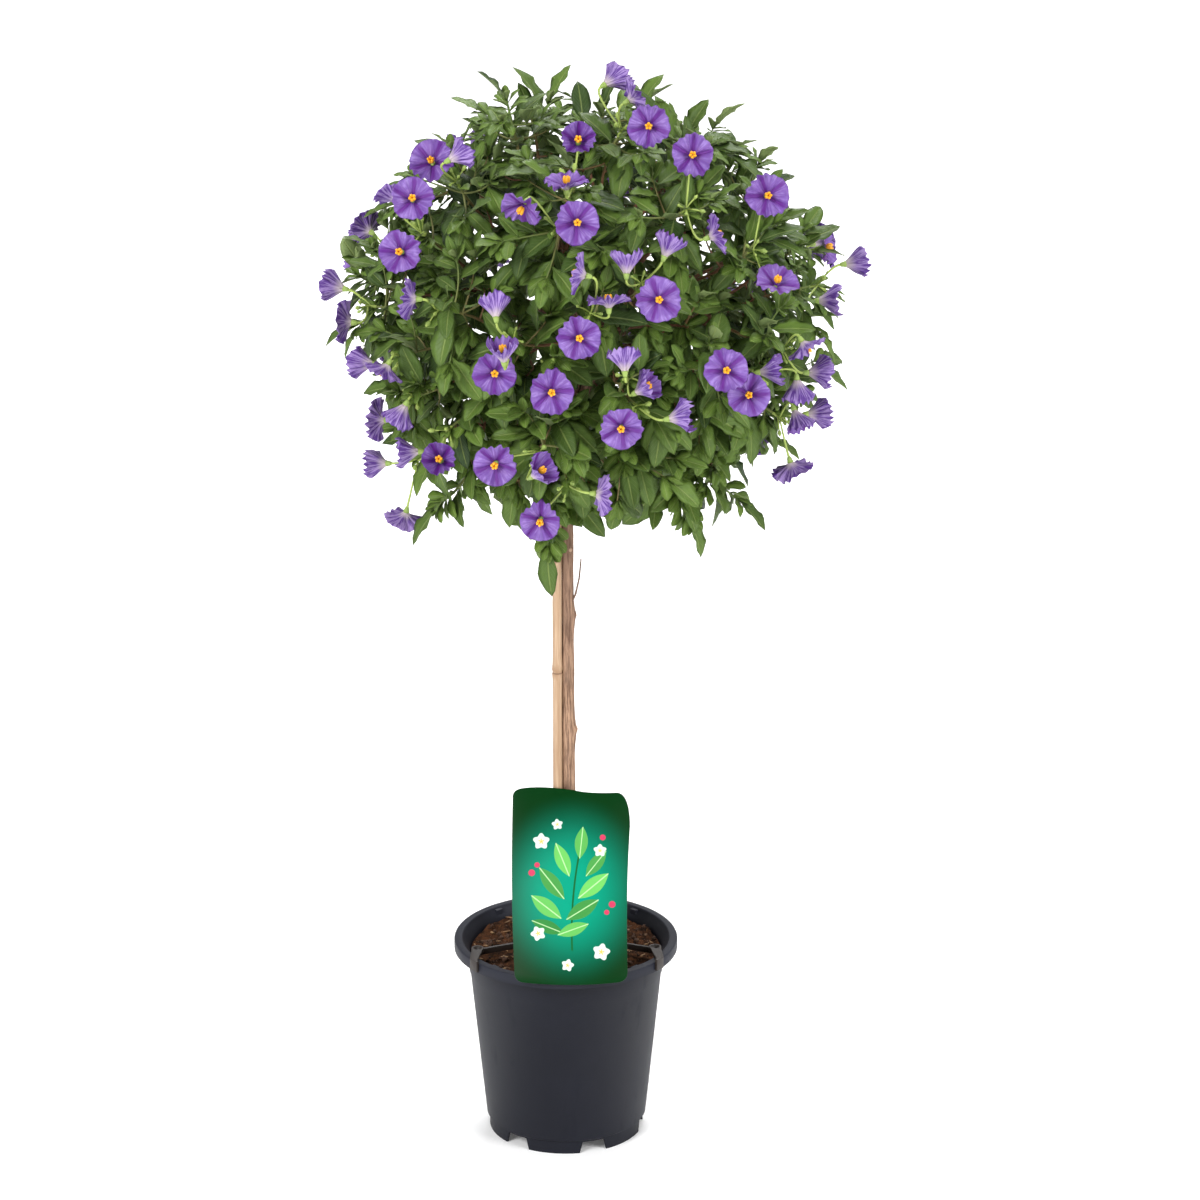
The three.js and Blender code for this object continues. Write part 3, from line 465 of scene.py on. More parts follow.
class Bunch:
    """Copies of modelled forms, each with its own points, gathered for one mesh."""

    def __init__(self):
        self.rows = {"points": [], "corners": [], "sizes": [], "map": [], "tones": [], "slots": []}
        self.count = 0

    def add(self, form, points, tone, slot=0):
        rows = self.rows
        rows["points"].append(points)
        rows["corners"].append(form["corners"] + self.count)
        rows["sizes"].append(form["sizes"])
        rows["map"].append(form["map"])
        rows["tones"].append(np.full(len(points), tone, np.float32))
        rows["slots"].append(np.full(len(form["sizes"]), slot, np.int32))
        self.count += len(points)

    def piece(self, name):
        """The mesh object of all the copies, shaded smooth."""
        joined = {key: np.concatenate(rows) for key, rows in self.rows.items()}
        mesh = bpy.data.meshes.new(name)
        mesh.vertices.add(self.count)
        mesh.vertices.foreach_set("co", joined["points"].astype(np.float32).ravel())
        mesh.loops.add(len(joined["corners"]))
        mesh.loops.foreach_set("vertex_index", joined["corners"])
        mesh.polygons.add(len(joined["sizes"]))
        starts = np.concatenate([[0], np.cumsum(joined["sizes"])[:-1]]).astype(np.int32)
        mesh.polygons.foreach_set("loop_start", starts)
        mesh.polygons.foreach_set("material_index", joined["slots"])
        layer = mesh.uv_layers.new(name="UVMap")
        layer.data.foreach_set("uv", joined["map"].astype(np.float32).ravel())
        tones = mesh.attributes.new("tone", "FLOAT", "POINT")
        tones.data.foreach_set("value", joined["tones"])
        mesh.update(calc_edges=True)
        mesh.validate()
        mesh.shade_smooth()
        return add_object(name, mesh)


def spun(generator):
    """A turn matrix about a random axis."""
    turn, _ = np.linalg.qr(generator.normal(size=(3, 3)))
    return turn * np.sign(np.linalg.det(turn))


bpy.ops.mesh.primitive_ico_sphere_add(subdivisions=1, radius=1)
crumb_form = form_of(bpy.context.object)
scatter = np.random.default_rng(5)
litter = Bunch()
for number in range(CRUMB_COUNT + CHIP_COUNT):
    is_chip = number >= CRUMB_COUNT
    reach = (top_radius - 0.002) * math.sqrt(scatter.random())
    angle = FULL_TURN * scatter.random()
    x, y = reach * math.cos(angle), reach * math.sin(angle)
    if is_chip:
        length = 0.0022 + 0.004 * scatter.random()
        size = np.array([length, 0.0007 + 0.0009 * scatter.random(), CHIP_THICKNESS])
    else:
        size = (0.0007 + 0.0016 * scatter.random() ** 2) * CRUMB_SHAPE
    rough = crumb_form["points"] * (0.75 + 0.5 * scatter.random((len(crumb_form["points"]), 1)))
    tilt = spun(scatter)
    if is_chip:
        turn = FULL_TURN * scatter.random()
        lean = 0.35 * (scatter.random() - 0.5)
        tilt = np.array([[math.cos(turn), math.sin(turn), lean],
                         [-math.sin(turn), math.cos(turn), 0], [0, 0, 1]])
    spot = np.array([x, y, SOIL_TOP + soil_lump(x, y) + 0.4 * size[2]])
    tone = 0.5 + 0.5 * scatter.random() if is_chip else 0.45 * scatter.random()
    litter.add(crumb_form, spot + (rough * size) @ tilt, tone)
crumbs = litter.piece("peat_crumbs")

earth = Finish("peat", Roughness=0.95)
earth.set("Specular IOR Level", 0.08)
clods = earth.noise(earth.place(), 120, 6, 0.7)
fibres = earth.noise(earth.stretched(1, 0.25, 1), 900, 3, 0.6)
ground = earth.mix(clods.step(0.35, 0.68), linear(26, 15, 8), linear(78, 48, 29))
earth.set("Base Color", earth.mix(fibres.step(0.6, 0.72), ground, linear(112, 76, 46)))
earth.bump(clods + 0.6 * fibres, 0.0012)
dress(peat, "peat", earth)
smooth(peat, 60)
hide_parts("soil")

litter_finish = Finish("peat_litter", Roughness=0.9)
grain = litter_finish.noise(litter_finish.place(), 700, 3)
dark_litter = litter_finish.mix(grain, linear(38, 22, 12), linear(82, 52, 32))
pale_litter = litter_finish.mix(grain, linear(104, 74, 48), linear(164, 130, 92))
litter_tone = litter_finish.tone().step(0.45, 0.8)
litter_finish.set("Base Color", litter_finish.mix(litter_tone, dark_litter, pale_litter))
litter_finish.bump(grain, 0.0004)
dress(crumbs, "peat", litter_finish)


# The trunk: the bare stem of the standard, trained up straight, with fine ridged bark. It has a
# knot where each of two side shoots was cut off, healed scars, and one dry twig.
# From here on the sizes are in millimetres, and MM brings them to metres.
MM = 0.001
TRUNK_FOOT = np.array([3.1, 3.3, 75])
TRUNK_TOP = np.array([1.9, 2, 578])
TRUNK_FOOT_RADIUS = 5.5
TRUNK_TOP_RADIUS = 3.7
TRUNK_KNOTS = (319, 409)
TRUNK_SCARS = ((374, 2.6), (240, 4.1), (462, 5.2), (196, 0.7))
KNOT_BULGE = 1.1
KNOT_LENGTH = 9
STUB_LENGTH = 2.4
STUB_BULGE = 1.1
SCAR_LENGTH = 3
SCAR_BULGE = 0.8
SCAR_REACH = 2.3
PRESSED_SIDE = 0.7
RIDGE_HEIGHT = 0.34
TRUNK_RINGS = 300
TRUNK_CORNERS = 28
TWIG_PATH = ((4, 1, 418), (8, -0.5, 428), (10.6, -1, 440), (12, -1, 455))
TWIG_RADII = (0.8, 0.75, 0.65, 0.5)


def trunk_line(height):
    share = (height - TRUNK_FOOT[2]) / (TRUNK_TOP[2] - TRUNK_FOOT[2])
    return TRUNK_FOOT + (TRUNK_TOP - TRUNK_FOOT) * share, share


def bark_radius(height, angle, share):
    """The trunk's radius in millimetres, with its knots, scars and the ridges of its bark."""
    radius = TRUNK_FOOT_RADIUS + (TRUNK_TOP_RADIUS - TRUNK_FOOT_RADIUS) * share
    for knot in TRUNK_KNOTS:
        near = math.exp(-(((height - knot) / KNOT_LENGTH) ** 2))
        radius += KNOT_BULGE * near * max(0, math.cos(angle)) ** 1.5
        stub = math.exp(-(((height - knot - 1.5) / STUB_LENGTH) ** 2))
        radius += STUB_BULGE * stub * max(0, math.cos(angle)) ** 6
    for scar, side in TRUNK_SCARS:
        near = math.exp(-(((height - scar) / SCAR_LENGTH) ** 2))
        radius += SCAR_BULGE * (near * max(0, math.cos(angle - side)) ** 3)
    radius += PRESSED_SIDE * share * max(0, -math.cos(angle))
    around = Vector((math.cos(angle) * 2.2, math.sin(angle) * 2.2, height * 0.02))
    ridge = noise.noise(around * 1.6) + 0.6 * noise.noise(around * 4 + Vector((0, 0, 7)))
    return radius + RIDGE_HEIGHT * ridge


def rods(name, paths, sides=6):
    """Tapered round rods along paths of points, each with its radii, in millimetres."""
    curve = bpy.data.curves.new(name, "CURVE")
    curve.dimensions = "3D"
    curve.bevel_depth = MM
    curve.bevel_resolution = (sides - 4) // 2
    curve.use_fill_caps = True
    for points, radii in paths:
        spline = curve.splines.new("POLY")
        spline.points.add(len(points) - 1)
        places = np.c_[np.asarray(points, float) * MM, np.ones(len(points))]
        spline.points.foreach_set("co", places.ravel())
        spline.points.foreach_set("radius", np.asarray(radii, float))
    made = add_object(name, curve)
    select_only(made)
    bpy.ops.object.convert(target="MESH")
    made = bpy.context.object
    made.data.shade_smooth()
    return made


def join_pieces(piece, other):
    """Joins the other piece into the first one."""
    select_only(piece, other)
    bpy.ops.object.join()
    return piece


heights = np.linspace(TRUNK_FOOT[2], TRUNK_TOP[2], TRUNK_RINGS)
trunk_profile = [(TRUNK_FOOT_RADIUS * MM, height * MM) for height in heights]
trunk = turned_piece("trunk_bark", trunk_profile, TRUNK_CORNERS)
for spot in trunk.data.vertices:
    angle = math.atan2(spot.co.y, spot.co.x)
    centre, share = trunk_line(spot.co.z / MM)
    radius = bark_radius(spot.co.z / MM, angle, share)
    spot.co.x = MM * (centre[0] + radius * math.cos(angle))
    spot.co.y = MM * (centre[1] + radius * math.sin(angle))
smooth(trunk, 60)

bark = Finish("bark", Roughness=0.85)
bark.set("Specular IOR Level", 0.2)
strands = bark.noise(bark.stretched(1, 1, 0.07), 700, 5, 0.7)
patches = bark.noise(bark.stretched(1, 1, 0.3), 110, 4, 0.6)
bark_x, bark_y, bark_z = bark.parts(bark.place())
fibrous = bark.mix(strands.step(0.36, 0.64), linear(102, 77, 62), linear(184, 149, 123))
fibrous = bark.mix(patches.step(0.45, 0.7) * 0.5, fibrous, linear(118, 96, 82))
# From 0.33 m up towards the crown the bark is mixed darker.
bark_darker_high = bark.mix(bark_z.step(0.33, 0.45) * 0.5, fibrous, linear(98, 76, 66))
for height, side in TRUNK_SCARS + tuple((knot + 1.5, 0) for knot in TRUNK_KNOTS):
    centre, share = trunk_line(height)
    reach = bark_radius(height, side, share)
    offsets = (bark_x - (centre[0] + reach * math.cos(side)) * MM,
               bark_y - (centre[1] + reach * math.sin(side)) * MM, bark_z - height * MM)
    apart = sum((offset * offset for offset in offsets), 0) ** 0.5 / (SCAR_REACH * MM)
    scar = 1 - (apart + 0.5 * (strands - 0.5)).step(0.35, 0.8)
    bark_darker_high = bark.mix(scar * 0.8, bark_darker_high, linear(196, 164, 138))
bark.set("Base Color", bark_darker_high)
bark.bump(strands + 0.4 * patches, 0.0011)
dry_wood = Finish("dry_twig", Roughness=0.9)
dry_grain = dry_wood.noise(dry_wood.place(), 900, 3)
dry_wood.set("Base Color", dry_wood.mix(dry_grain, linear(84, 62, 50), linear(122, 94, 78)))
dry_wood.bump(dry_grain, 0.0002)
dry_twig = rods("dry_twig", [(TWIG_PATH, TWIG_RADII)])
trunk.data.materials.append(bark.material)
dry_twig.data.materials.append(dry_wood.material)
trunk = join_pieces(trunk, dry_twig)
dress(trunk, "bark")
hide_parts("trunk")


# The cane: a bamboo stake pushed into the peat beside the trunk, with one knuckle that shows. Its
# sheath left a fine dark rim there, and its skin is smooth, pale and faintly streaked.
CANE_AXIS = (-5.8, 0)
CANE_RADIUS = 3.6
CANE_FOOT = 55
CANE_TOP = 523
CANE_KNUCKLE = 367
CANE_RIM = 0.9
CANE_CORNERS = 36

cane_profile = [
    (CANE_RADIUS * 0.45, CANE_FOOT),
    (CANE_RADIUS - 0.3, CANE_FOOT),
    (CANE_RADIUS, CANE_FOOT + 0.4),
    (CANE_RADIUS - 0.05, CANE_KNUCKLE - 16),
    (CANE_RADIUS + 0.05, CANE_KNUCKLE - 7),
    (CANE_RADIUS + 0.3, CANE_KNUCKLE - 3),
    (CANE_RADIUS + 0.42, CANE_KNUCKLE - 1.6),
    (CANE_RADIUS + 0.05, CANE_KNUCKLE - CANE_RIM),
    (CANE_RADIUS + 0.1, CANE_KNUCKLE + 0.2),
    (CANE_RADIUS + 0.5, CANE_KNUCKLE + 1.6),
    (CANE_RADIUS + 0.35, CANE_KNUCKLE + 3.4),
    (CANE_RADIUS + 0.05, CANE_KNUCKLE + 7),
    (CANE_RADIUS - 0.1, CANE_KNUCKLE + 16),
    (CANE_RADIUS - 0.1, CANE_TOP - 0.4),
    (CANE_RADIUS - 0.4, CANE_TOP),
    (CANE_RADIUS * 0.45, CANE_TOP),
    (CANE_RADIUS * 0.45, CANE_TOP - 4),
]
cane = turned_piece("bamboo_cane", [(radius * MM, height * MM) for radius, height in cane_profile],
                    CANE_CORNERS)
for spot in cane.data.vertices:
    spot.co.x += CANE_AXIS[0] * MM
smooth(cane, 40)

bamboo = Finish("bamboo", Roughness=0.5)
streaks = bamboo.noise(bamboo.stretched(1, 1, 0.02), 1300, 4, 0.6)
stains = bamboo.noise(bamboo.stretched(1, 1, 0.12), 60, 4, 0.6)
height = bamboo.parts(bamboo.place())[2]
knuckle_near = 1 - ((height - CANE_KNUCKLE * MM).size() / (7 * MM)).step(0.1, 1)
straw = bamboo.mix(streaks.step(0.35, 0.7), linear(160, 128, 98), linear(190, 162, 134))
stained = bamboo.mix(stains.step(0.5, 0.75) * 0.6, straw, linear(150, 112, 80))
from_rim = (height - (CANE_KNUCKLE - CANE_RIM) * MM).size() / (CANE_RIM * MM)
rim_line = 1 - (from_rim + 0.6 * stains).step(0.4, 1.1)
stained = bamboo.mix(knuckle_near * 0.45, stained, linear(136, 98, 66))
bamboo.set("Base Color", bamboo.mix(rim_line * 0.7, stained, linear(84, 56, 38)))
bamboo.bump(streaks, 0.00015)
dress(cane, "bamboo", bamboo)
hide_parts("cane")


# The label: a thin plastic card with a softly waved outline, printed in greens. It stands on the
# front of the rim and leans on the cane. Its print is a plain sprig of leaves on a soft glow, with
# a few berries and small pale blossoms round it.
LABEL_WIDTH = 89
LABEL_LENGTH = 149.5
LABEL_THICKNESS = 0.8
LABEL_TOP = 276
LABEL_SHIFT = 4
LABEL_CORNER = 9
LABEL_GAP = 0.3
OUTLINE_STEPS = 12
LABEL_GLOW = {"height": 70, "across": 56, "up": 68}
LABEL_ROUNDING = 0.00022
SPRIG_LEAVES = [
    # x, height, turn in degrees, length, width, share of the paler green
    (-17, 43, 158, 26, 10, 0.2), (2, 41, 20, 25, 10, 0.7), (-18, 58, 142, 29, 12, 0.75),
    (9, 56, 32, 29, 12, 0.3), (-14, 76, 128, 31, 12, 0.35), (17, 74, 40, 30, 12, 0.9),
    (-6, 94, 112, 28, 11, 0.85), (19, 91, 52, 25, 10, 0.4), (8, 107, 84, 25, 10, 0.6),
]
# x, height, radius
SPRIG_BLOSSOMS = [
    (-22, 108, 5.6), (22, 101, 4.4), (-10, 121, 3.8), (-24, 38, 5), (23, 24, 5.8), (-2, 14, 4.2),
]
SPRIG_BERRIES = [(-29, 84, 2.6), (-25, 90, 2.1), (31, 60, 2.6), (27, 54, 2), (24, 111, 2.3)]


def quadratic(start, control, end, steps):
    """The points of a quadratic curve after its start."""
    shares = [(step + 1) / steps for step in range(steps)]
    return [tuple((1 - t) ** 2 * a + 2 * t * (1 - t) * b + t * t * c
                  for a, b, c in zip(start, control, end)) for t in shares]


half = LABEL_WIDTH / 2
label_corners = [
    # control point, then the end of the stretch
    ((0, -2.5), (half - LABEL_CORNER - 2, 1)),
    ((half - 2, 1.5), (half - 2, LABEL_CORNER)),
    ((half - 3.5, LABEL_LENGTH * 0.45), (half, LABEL_LENGTH * 0.8)),
    ((half, LABEL_LENGTH - 6), (half - LABEL_CORNER, LABEL_LENGTH - 4)),
    ((half * 0.3, LABEL_LENGTH - 5), (2, LABEL_LENGTH - 2)),
    ((-half * 0.5, LABEL_LENGTH + 1.5), (-half + LABEL_CORNER, LABEL_LENGTH - 0.5)),
    ((-half, LABEL_LENGTH - 1.5), (-half + 1, LABEL_LENGTH - LABEL_CORNER)),
    ((-half - 0.5, LABEL_LENGTH * 0.5), (-half + 3, LABEL_CORNER)),
    ((-half + 3, 1.5), (-half + LABEL_CORNER + 2, 1)),
]
outline = []
start = (-half + LABEL_CORNER + 2, 1)
for control, end in label_corners:
    outline += quadratic(start, control, end, OUTLINE_STEPS)
    start = end
bpy.ops.mesh.primitive_circle_add(vertices=len(outline), radius=0.05, fill_type="NGON")
label = name_piece("plant_card")
for spot, (x, along) in zip(label.data.vertices, outline):
    spot.co = (x * MM, along * MM, 0)
edit_all()
bpy.ops.mesh.extrude_region_move(TRANSFORM_OT_translate={"value": (0, 0, LABEL_THICKNESS * MM)})
close_shell()
round_edges(label, LABEL_ROUNDING, 60)
card_map = label.data.uv_layers.active
for face in label.data.polygons:
    for corner in face.loop_indices:
        spot = label.data.vertices[label.data.loops[corner].vertex_index].co
        back = 2 if face.normal.z < -0.5 else 0
        card_map.data[corner].uv = (spot.x / MM / LABEL_WIDTH + 0.5, spot.y / MM / LABEL_LENGTH + back)
rim = Vector((-RIM_RADIUS / MM - 0.2, POT_HEIGHT / MM + 0.3))
head = Vector((-CANE_RADIUS - LABEL_GAP, LABEL_TOP))
lean = (head - rim).normalized()
foot = head - lean * LABEL_LENGTH
for spot in label.data.vertices:
    x, along, out = spot.co
    spot.co = (x + LABEL_SHIFT * MM, foot.x * MM + along * lean.x - out * lean.y,
               foot.y * MM + along * lean.y + out * lean.x)
smooth(label)

card = Finish("printed_card", Roughness=0.42)
card_across, card_up = card.across()
x = (card_across - 0.5) * LABEL_WIDTH
y = card_up * LABEL_LENGTH
front = 1 - card_up.above(1.5)
above_glow = (y - LABEL_GLOW["height"]) / LABEL_GLOW["up"]
away = ((x / LABEL_GLOW["across"]) ** 2 + above_glow * above_glow) ** 0.5
printed = card.mix(away.step(0.2, 1.12), linear(0, 146, 116), linear(0, 48, 12))
stem_bend = (x - 1 - 0.0016 * (y - 40) * (y - 40)).size()
stem_mask = (1 - stem_bend.step(0.45, 0.9)) * (y - 24).step(0, 2) * (1 - (y - 100).step(0, 2))
printed = card.mix(stem_mask, printed, linear(18, 92, 40))
for leaf_x, leaf_y, degrees, length, width, paler in SPRIG_LEAVES:
    turn = math.radians(degrees)
    dx, dy = x - leaf_x, y - leaf_y
    along = (dx * math.cos(turn) + dy * math.sin(turn)) / (length / 2)
    aside = (dy * math.cos(turn) - dx * math.sin(turn)) / (width / 2)
    inside = (1 - along * along - aside.size()).step(0, 0.06)
    rib = inside * (1 - aside.size().step(0.04, 0.1))
    green = tuple((1 - paler) * a + paler * b for a, b in zip(linear(6, 100, 44), linear(112, 196, 96)))
    printed = card.mix(inside, printed, green)
    printed = card.mix(rib * 0.7, printed, linear(196, 232, 176))
for berry_x, berry_y, radius in SPRIG_BERRIES:
    dx, dy = x - berry_x, y - berry_y
    apart = (dx * dx + dy * dy) ** 0.5
    printed = card.mix(1 - apart.step(radius - 0.3, radius + 0.1), printed, linear(196, 60, 92))
for blossom_x, blossom_y, radius in SPRIG_BLOSSOMS:
    dx, dy = x - blossom_x, y - blossom_y
    petals = (dy.math("ARCTAN2", dy, dx) * 5 + blossom_x).wave()
    apart = (dx * dx + dy * dy) ** 0.5 + petals * (0.16 * radius)
    printed = card.mix(1 - apart.step(radius - 0.4, radius), printed, linear(206, 224, 214))
    printed = card.mix(1 - apart.step(0.2 * radius, 0.3 * radius), printed, linear(226, 180, 60))
card.set("Base Color", card.mix(front, linear(8, 64, 32), printed))
card.set("Specular IOR Level", 0.1)
dress(label, "label_card", card)
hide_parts("plant_label")


# The clip: a brown-black plastic bar across the mouth of the pot in front of the trunk. At each end
# an eyelet takes a screw or cord, and a hook snaps over the lip.
CLIP_ROUNDING = 0.00035

clip = add_object("rim_clip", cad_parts["pot_clip"].data.copy())
clip.data.name = "rim_clip"
clip.data.materials.clear()
select_only(clip)
edit_all()
bpy.ops.mesh.remove_doubles(threshold=0.00001)
bpy.ops.mesh.dissolve_limited(angle_limit=math.radians(3))
bpy.ops.object.mode_set(mode="OBJECT")
round_edges(clip, CLIP_ROUNDING, 40)
smooth(clip)

clip_plastic = Finish("clip_plastic")
clip_cloud = clip_plastic.noise(clip_plastic.place(), 90, 4)
clip_plastic.set("Base Color", clip_plastic.mix(clip_cloud, linear(28, 22, 19), linear(46, 37, 32)))
clip_plastic.set("Roughness", 0.4 + 0.15 * clip_cloud)
clip_plastic.bump(clip_plastic.noise(clip_plastic.place(), 1400, 2), 0.00004)
dress(clip, "clip_plastic", clip_plastic)
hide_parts("pot_clip")


# The crown as it grew: limbs leave the trunk's head, each carries a leafy stem, the stem its
# shoots, and a shoot its leaves and often a spray of blooms. This is worked out by the rule, the
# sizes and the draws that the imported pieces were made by, so that the finer pieces keep their place.
CROWN_CENTRE = np.array([19.0, 0, 636])
CROWN_RADII = np.array([188.0, 178, 184])
STEM_COUNT = 16
LIMB_REACH = 0.28
STEM_REACH = 0.48
LIMB_RADIUS = 2.4
STEM_RADIUS = 2
SHOOT_RADIUS = 1.1
PEDICEL_RADIUS = 0.8
FIRST_FORK = 536
STRETCHES = 3
PEDUNCLE = 6
PEDUNCLE_RADIUS = 1.4
GAP = 0.3
OPEN_BLOOM = {"radius": 15, "depth": 9}
SMALL_BLOOM = {"radius": 11, "depth": 16}
LEAST_TURN = -0.1
MOST_TURNS = 12
SPRAY_INSET = 30
FACING_SWAY = 0.5
SINGLE_INSET = 24
CLEARANCE = 0.35
LEAF_THICKNESS = 1.1
LEAF_STATIONS = (0.27, 0.54, 0.8)
LEAF_LENGTH = 30
LEAF_GROWTH = 13
LEAVES_A_BLOOM_SHOOT = 3
LEAVES_A_FREE_SHOOT = 5
BACK_SPRAYS = 10
FREE_SHOOTS = 20
# Which way a bloom faces: to the front, or up, down, left or right with its inside or (N, S, W
# and E) its outside towards the front.
FACINGS = {
    "F": (0.05, -0.97, 0.2),
    "U": (0.1, -0.45, 0.9),
    "D": (-0.15, -0.55, -0.8),
    "N": (0.05, 0.75, 0.95),
    "S": (-0.1, 0.3, -0.9),
    "W": (-0.95, 0.5, 0),
    "E": (0.95, 0.5, 0),
}
# For each bloom that shows from the front its place in X and Z and the way it faces, with a small
# letter for a half-open one.
FRONT_SPRAYS = [
    [(90, 776, "F"), (107, 728, "E")],
    [(143, 745, "F"), (149, 693, "U")],
    [(61, 792, "F"), (51, 806, "E"), (40, 818, "e")],
    [(11, 789, "f"), (3, 765, "N")],
    [(-28, 746, "D"), (11, 740, "F"), (-6, 736, "f")],
    [(-92, 767, "F"), (-73, 772, "e")],
    [(-112, 747, "N"), (-113, 734, "F"), (-113, 710, "F")],
    [(-171, 662, "w"), (-156, 650, "W")],
    [(-147, 626, "w"), (-125, 626, "S")],
    [(-109, 683, "W"), (-109, 668, "w")],
    [(-132, 587, "W"), (-119, 600, "s")],
    [(-142, 528, "w"), (-116, 565, "w"), (-118, 485, "S")],
    [(-105, 581, "s"), (-87, 569, "u")],
    [(-46, 639, "F"), (-46, 690, "n"), (-31, 675, "n")],
    [(-7, 628, "F"), (-8, 653, "e")],
    [(12, 666, "F"), (19, 687, "N"), (19, 709, "W")],
    [(63, 689, "F"), (45, 721, "n"), (70, 723, "n")],
    [(42, 657, "n"), (59, 638, "n")],
    [(42, 603, "F"), (79, 615, "e")],
    [(-47, 570, "F"), (-20, 577, "n"), (3, 576, "n")],
    [(-16, 524, "F"), (29, 550, "E")],
    [(113, 638, "F"), (130, 620, "F")],
    [(171, 640, "S"), (182, 623, "e")],
    [(151, 628, "e"), (165, 606, "s")],
    [(187, 583, "e"), (168, 580, "s"), (164, 542, "S")],
    [(195, 664, "e"), (215, 679, "e")],
]
# The tips of the leafy sprigs that stand out of the round outline.
SPRIGS = [
    (-40, -20, 800), (-24, 25, 781), (14, 10, 779), (28, 40, 780), (87, -15, 774), (136, 20, 722),
    (-150, 10, 667), (-12, -45, 477), (92, -30, 494), (-91, -25, 504), (127, -25, 507), (168, 0, 690),
]
TRUNK_OWNER, CANE_OWNER, FIRST_SPRAY_OWNER = -1, -2, 1000
MOST_BOXES = 9000
DRAW_RANGE = 2147483647


def draws(seed):
    """A row of numbers from 0 to 1 that is the same for the same seed."""
    state = (seed * 7919 + 104729) % DRAW_RANGE

    def draw():
        nonlocal state
        state = state * 16807 % DRAW_RANGE
        return state / DRAW_RANGE

    return draw


def shake(draw):
    """A small vector of three draws, each from -0.5 to 0.5."""
    return np.array([draw() - 0.5, draw() - 0.5, draw() - 0.5])


def unit(vector):
    return vector / math.sqrt(vector @ vector)


def crown_point(direction, reach):
    """The point a share `reach` of the way from the crown's centre to its surface."""
    return direction * CROWN_RADII * reach + CROWN_CENTRE


def outward_at(point):
    return unit((point - CROWN_CENTRE) / CROWN_RADII)


def front_point(x, z):
    """The point of the crown's surface that the camera's side shows at X and Z."""
    across = (x - CROWN_CENTRE[0]) / CROWN_RADII[0]
    up = (z - CROWN_CENTRE[2]) / CROWN_RADII[2]
    depth = math.sqrt(max(0, 1 - across * across - up * up))
    return np.array([x, CROWN_CENTRE[1] - CROWN_RADII[1] * depth, z])


def spread(count, lowest, highest, turn):
    """`count` directions spread evenly by the golden angle, from `lowest` to `highest` in Z."""
    ways = []
    for index in range(count):
        z = lowest + (highest - lowest) * (index + 0.5) / count
        angle = turn + index * math.pi * (3 - math.sqrt(5))
        ring = math.sqrt(1 - z * z)
        ways.append(np.array([ring * math.cos(angle), ring * math.sin(angle), z]))
    return ways


def frame_along(along):
    """Two directions square to `along`, and `along` itself."""
    up = np.array([1.0, 0, 0]) if abs(along[2]) > 0.95 else np.array([0, 0, 1.0])
    first = unit(np.cross(along, up))
    return first, np.cross(first, along), along


def box_round(points, axes, room):
    """A box round the points: its centre, its half sizes and its axes."""
    reach = np.array(points) @ np.array(axes).T
    low, high = reach.min(0), reach.max(0)
    return (low + high) / 2 @ np.array(axes), (high - low) / 2 + room, np.array(axes)


def rod_boxes(points, radius):
    return [box_round([a, b], frame_along(unit(b - a)), radius) for a, b in zip(points, points[1:])]


class Room:
    """The boxes of all that stands in the crown, each with its owner and its shoot."""

    def __init__(self):
        self.count = 0
        self.centres = np.zeros((MOST_BOXES, 3))
        self.halves = np.zeros((MOST_BOXES, 3))
        self.axes = np.zeros((MOST_BOXES, 3, 3))
        self.owners = np.zeros(MOST_BOXES, int)
        self.shoots = np.full(MOST_BOXES, -1)

    def take(self, boxes, owner, shoot=-1):
        for centre, half, axes in boxes:
            row = self.count
            self.centres[row], self.halves[row], self.axes[row] = centre, half, axes
            self.owners[row], self.shoots[row] = owner, shoot
            self.count += 1

    def is_clear(self, boxes, others):
        """True if no box meets one of the rows that `others` marks, by the separating axes."""
        rows = np.flatnonzero(others)
        centres, halves, axes = self.centres[rows], self.halves[rows], self.axes[rows]
        for centre, half, frame_axes in boxes:
            sizes = np.linalg.norm(half) + np.linalg.norm(halves, axis=1)
            near = np.abs(centres - centre).sum(1) < 1.8 * sizes
            turn = np.einsum("ik,njk->nij", frame_axes, axes[near])
            spin = np.abs(turn) + 2.2e-16
            apart = (centres[near] - centre) @ frame_axes.T
            far = halves[near]
            split = (np.abs(apart) > half + np.einsum("nij,nj->ni", spin, far)).any(1)
            there = np.einsum("ni,nij->nj", apart, turn)
            split |= (np.abs(there) > np.einsum("i,nij->nj", half, spin) + far).any(1)
            for i in range(3):
                i1, i2 = (i + 1) % 3, (i + 2) % 3
                for j in range(3):
                    j1, j2 = (j + 1) % 3, (j + 2) % 3
                    reach = half[i1] * spin[:, i2, j] + half[i2] * spin[:, i1, j]
                    reach = reach + far[:, j1] * spin[:, i, j2] + far[:, j2] * spin[:, i, j1]
                    gap = apart[:, i2] * turn[:, i1, j] - apart[:, i1] * turn[:, i2, j]
                    split |= np.abs(gap) > reach
            if not split.all():
                return False
        return True

    def holds(self, points):
        """For each point, whether it lies in a box."""
        centres, halves, axes = (rows[:self.count] for rows in (self.centres, self.halves, self.axes))
        apart = np.einsum("npk,nik->npi", points[None] - centres[:, None], axes)
        return (np.abs(apart) < halves[:, None]).all(2).any(0)


room = Room()


def bend_point(curve, shares):
    """Points of a quadratic curve."""
    start, middle, end = curve
    t = np.asarray(shares, float)[..., None]
    return (1 - t) ** 2 * start + 2 * (1 - t) * t * middle + t * t * end


def evenly_along(curve, shares):
    """Points at shares of the curve's length."""
    steps = np.linspace(0, 1, 201)
    fine = bend_point(curve, steps)
    lengths = np.concatenate([[0], np.cumsum(np.linalg.norm(np.diff(fine, axis=0), axis=1))])
    return bend_point(curve, np.interp(np.asarray(shares) * lengths[-1], lengths, steps))


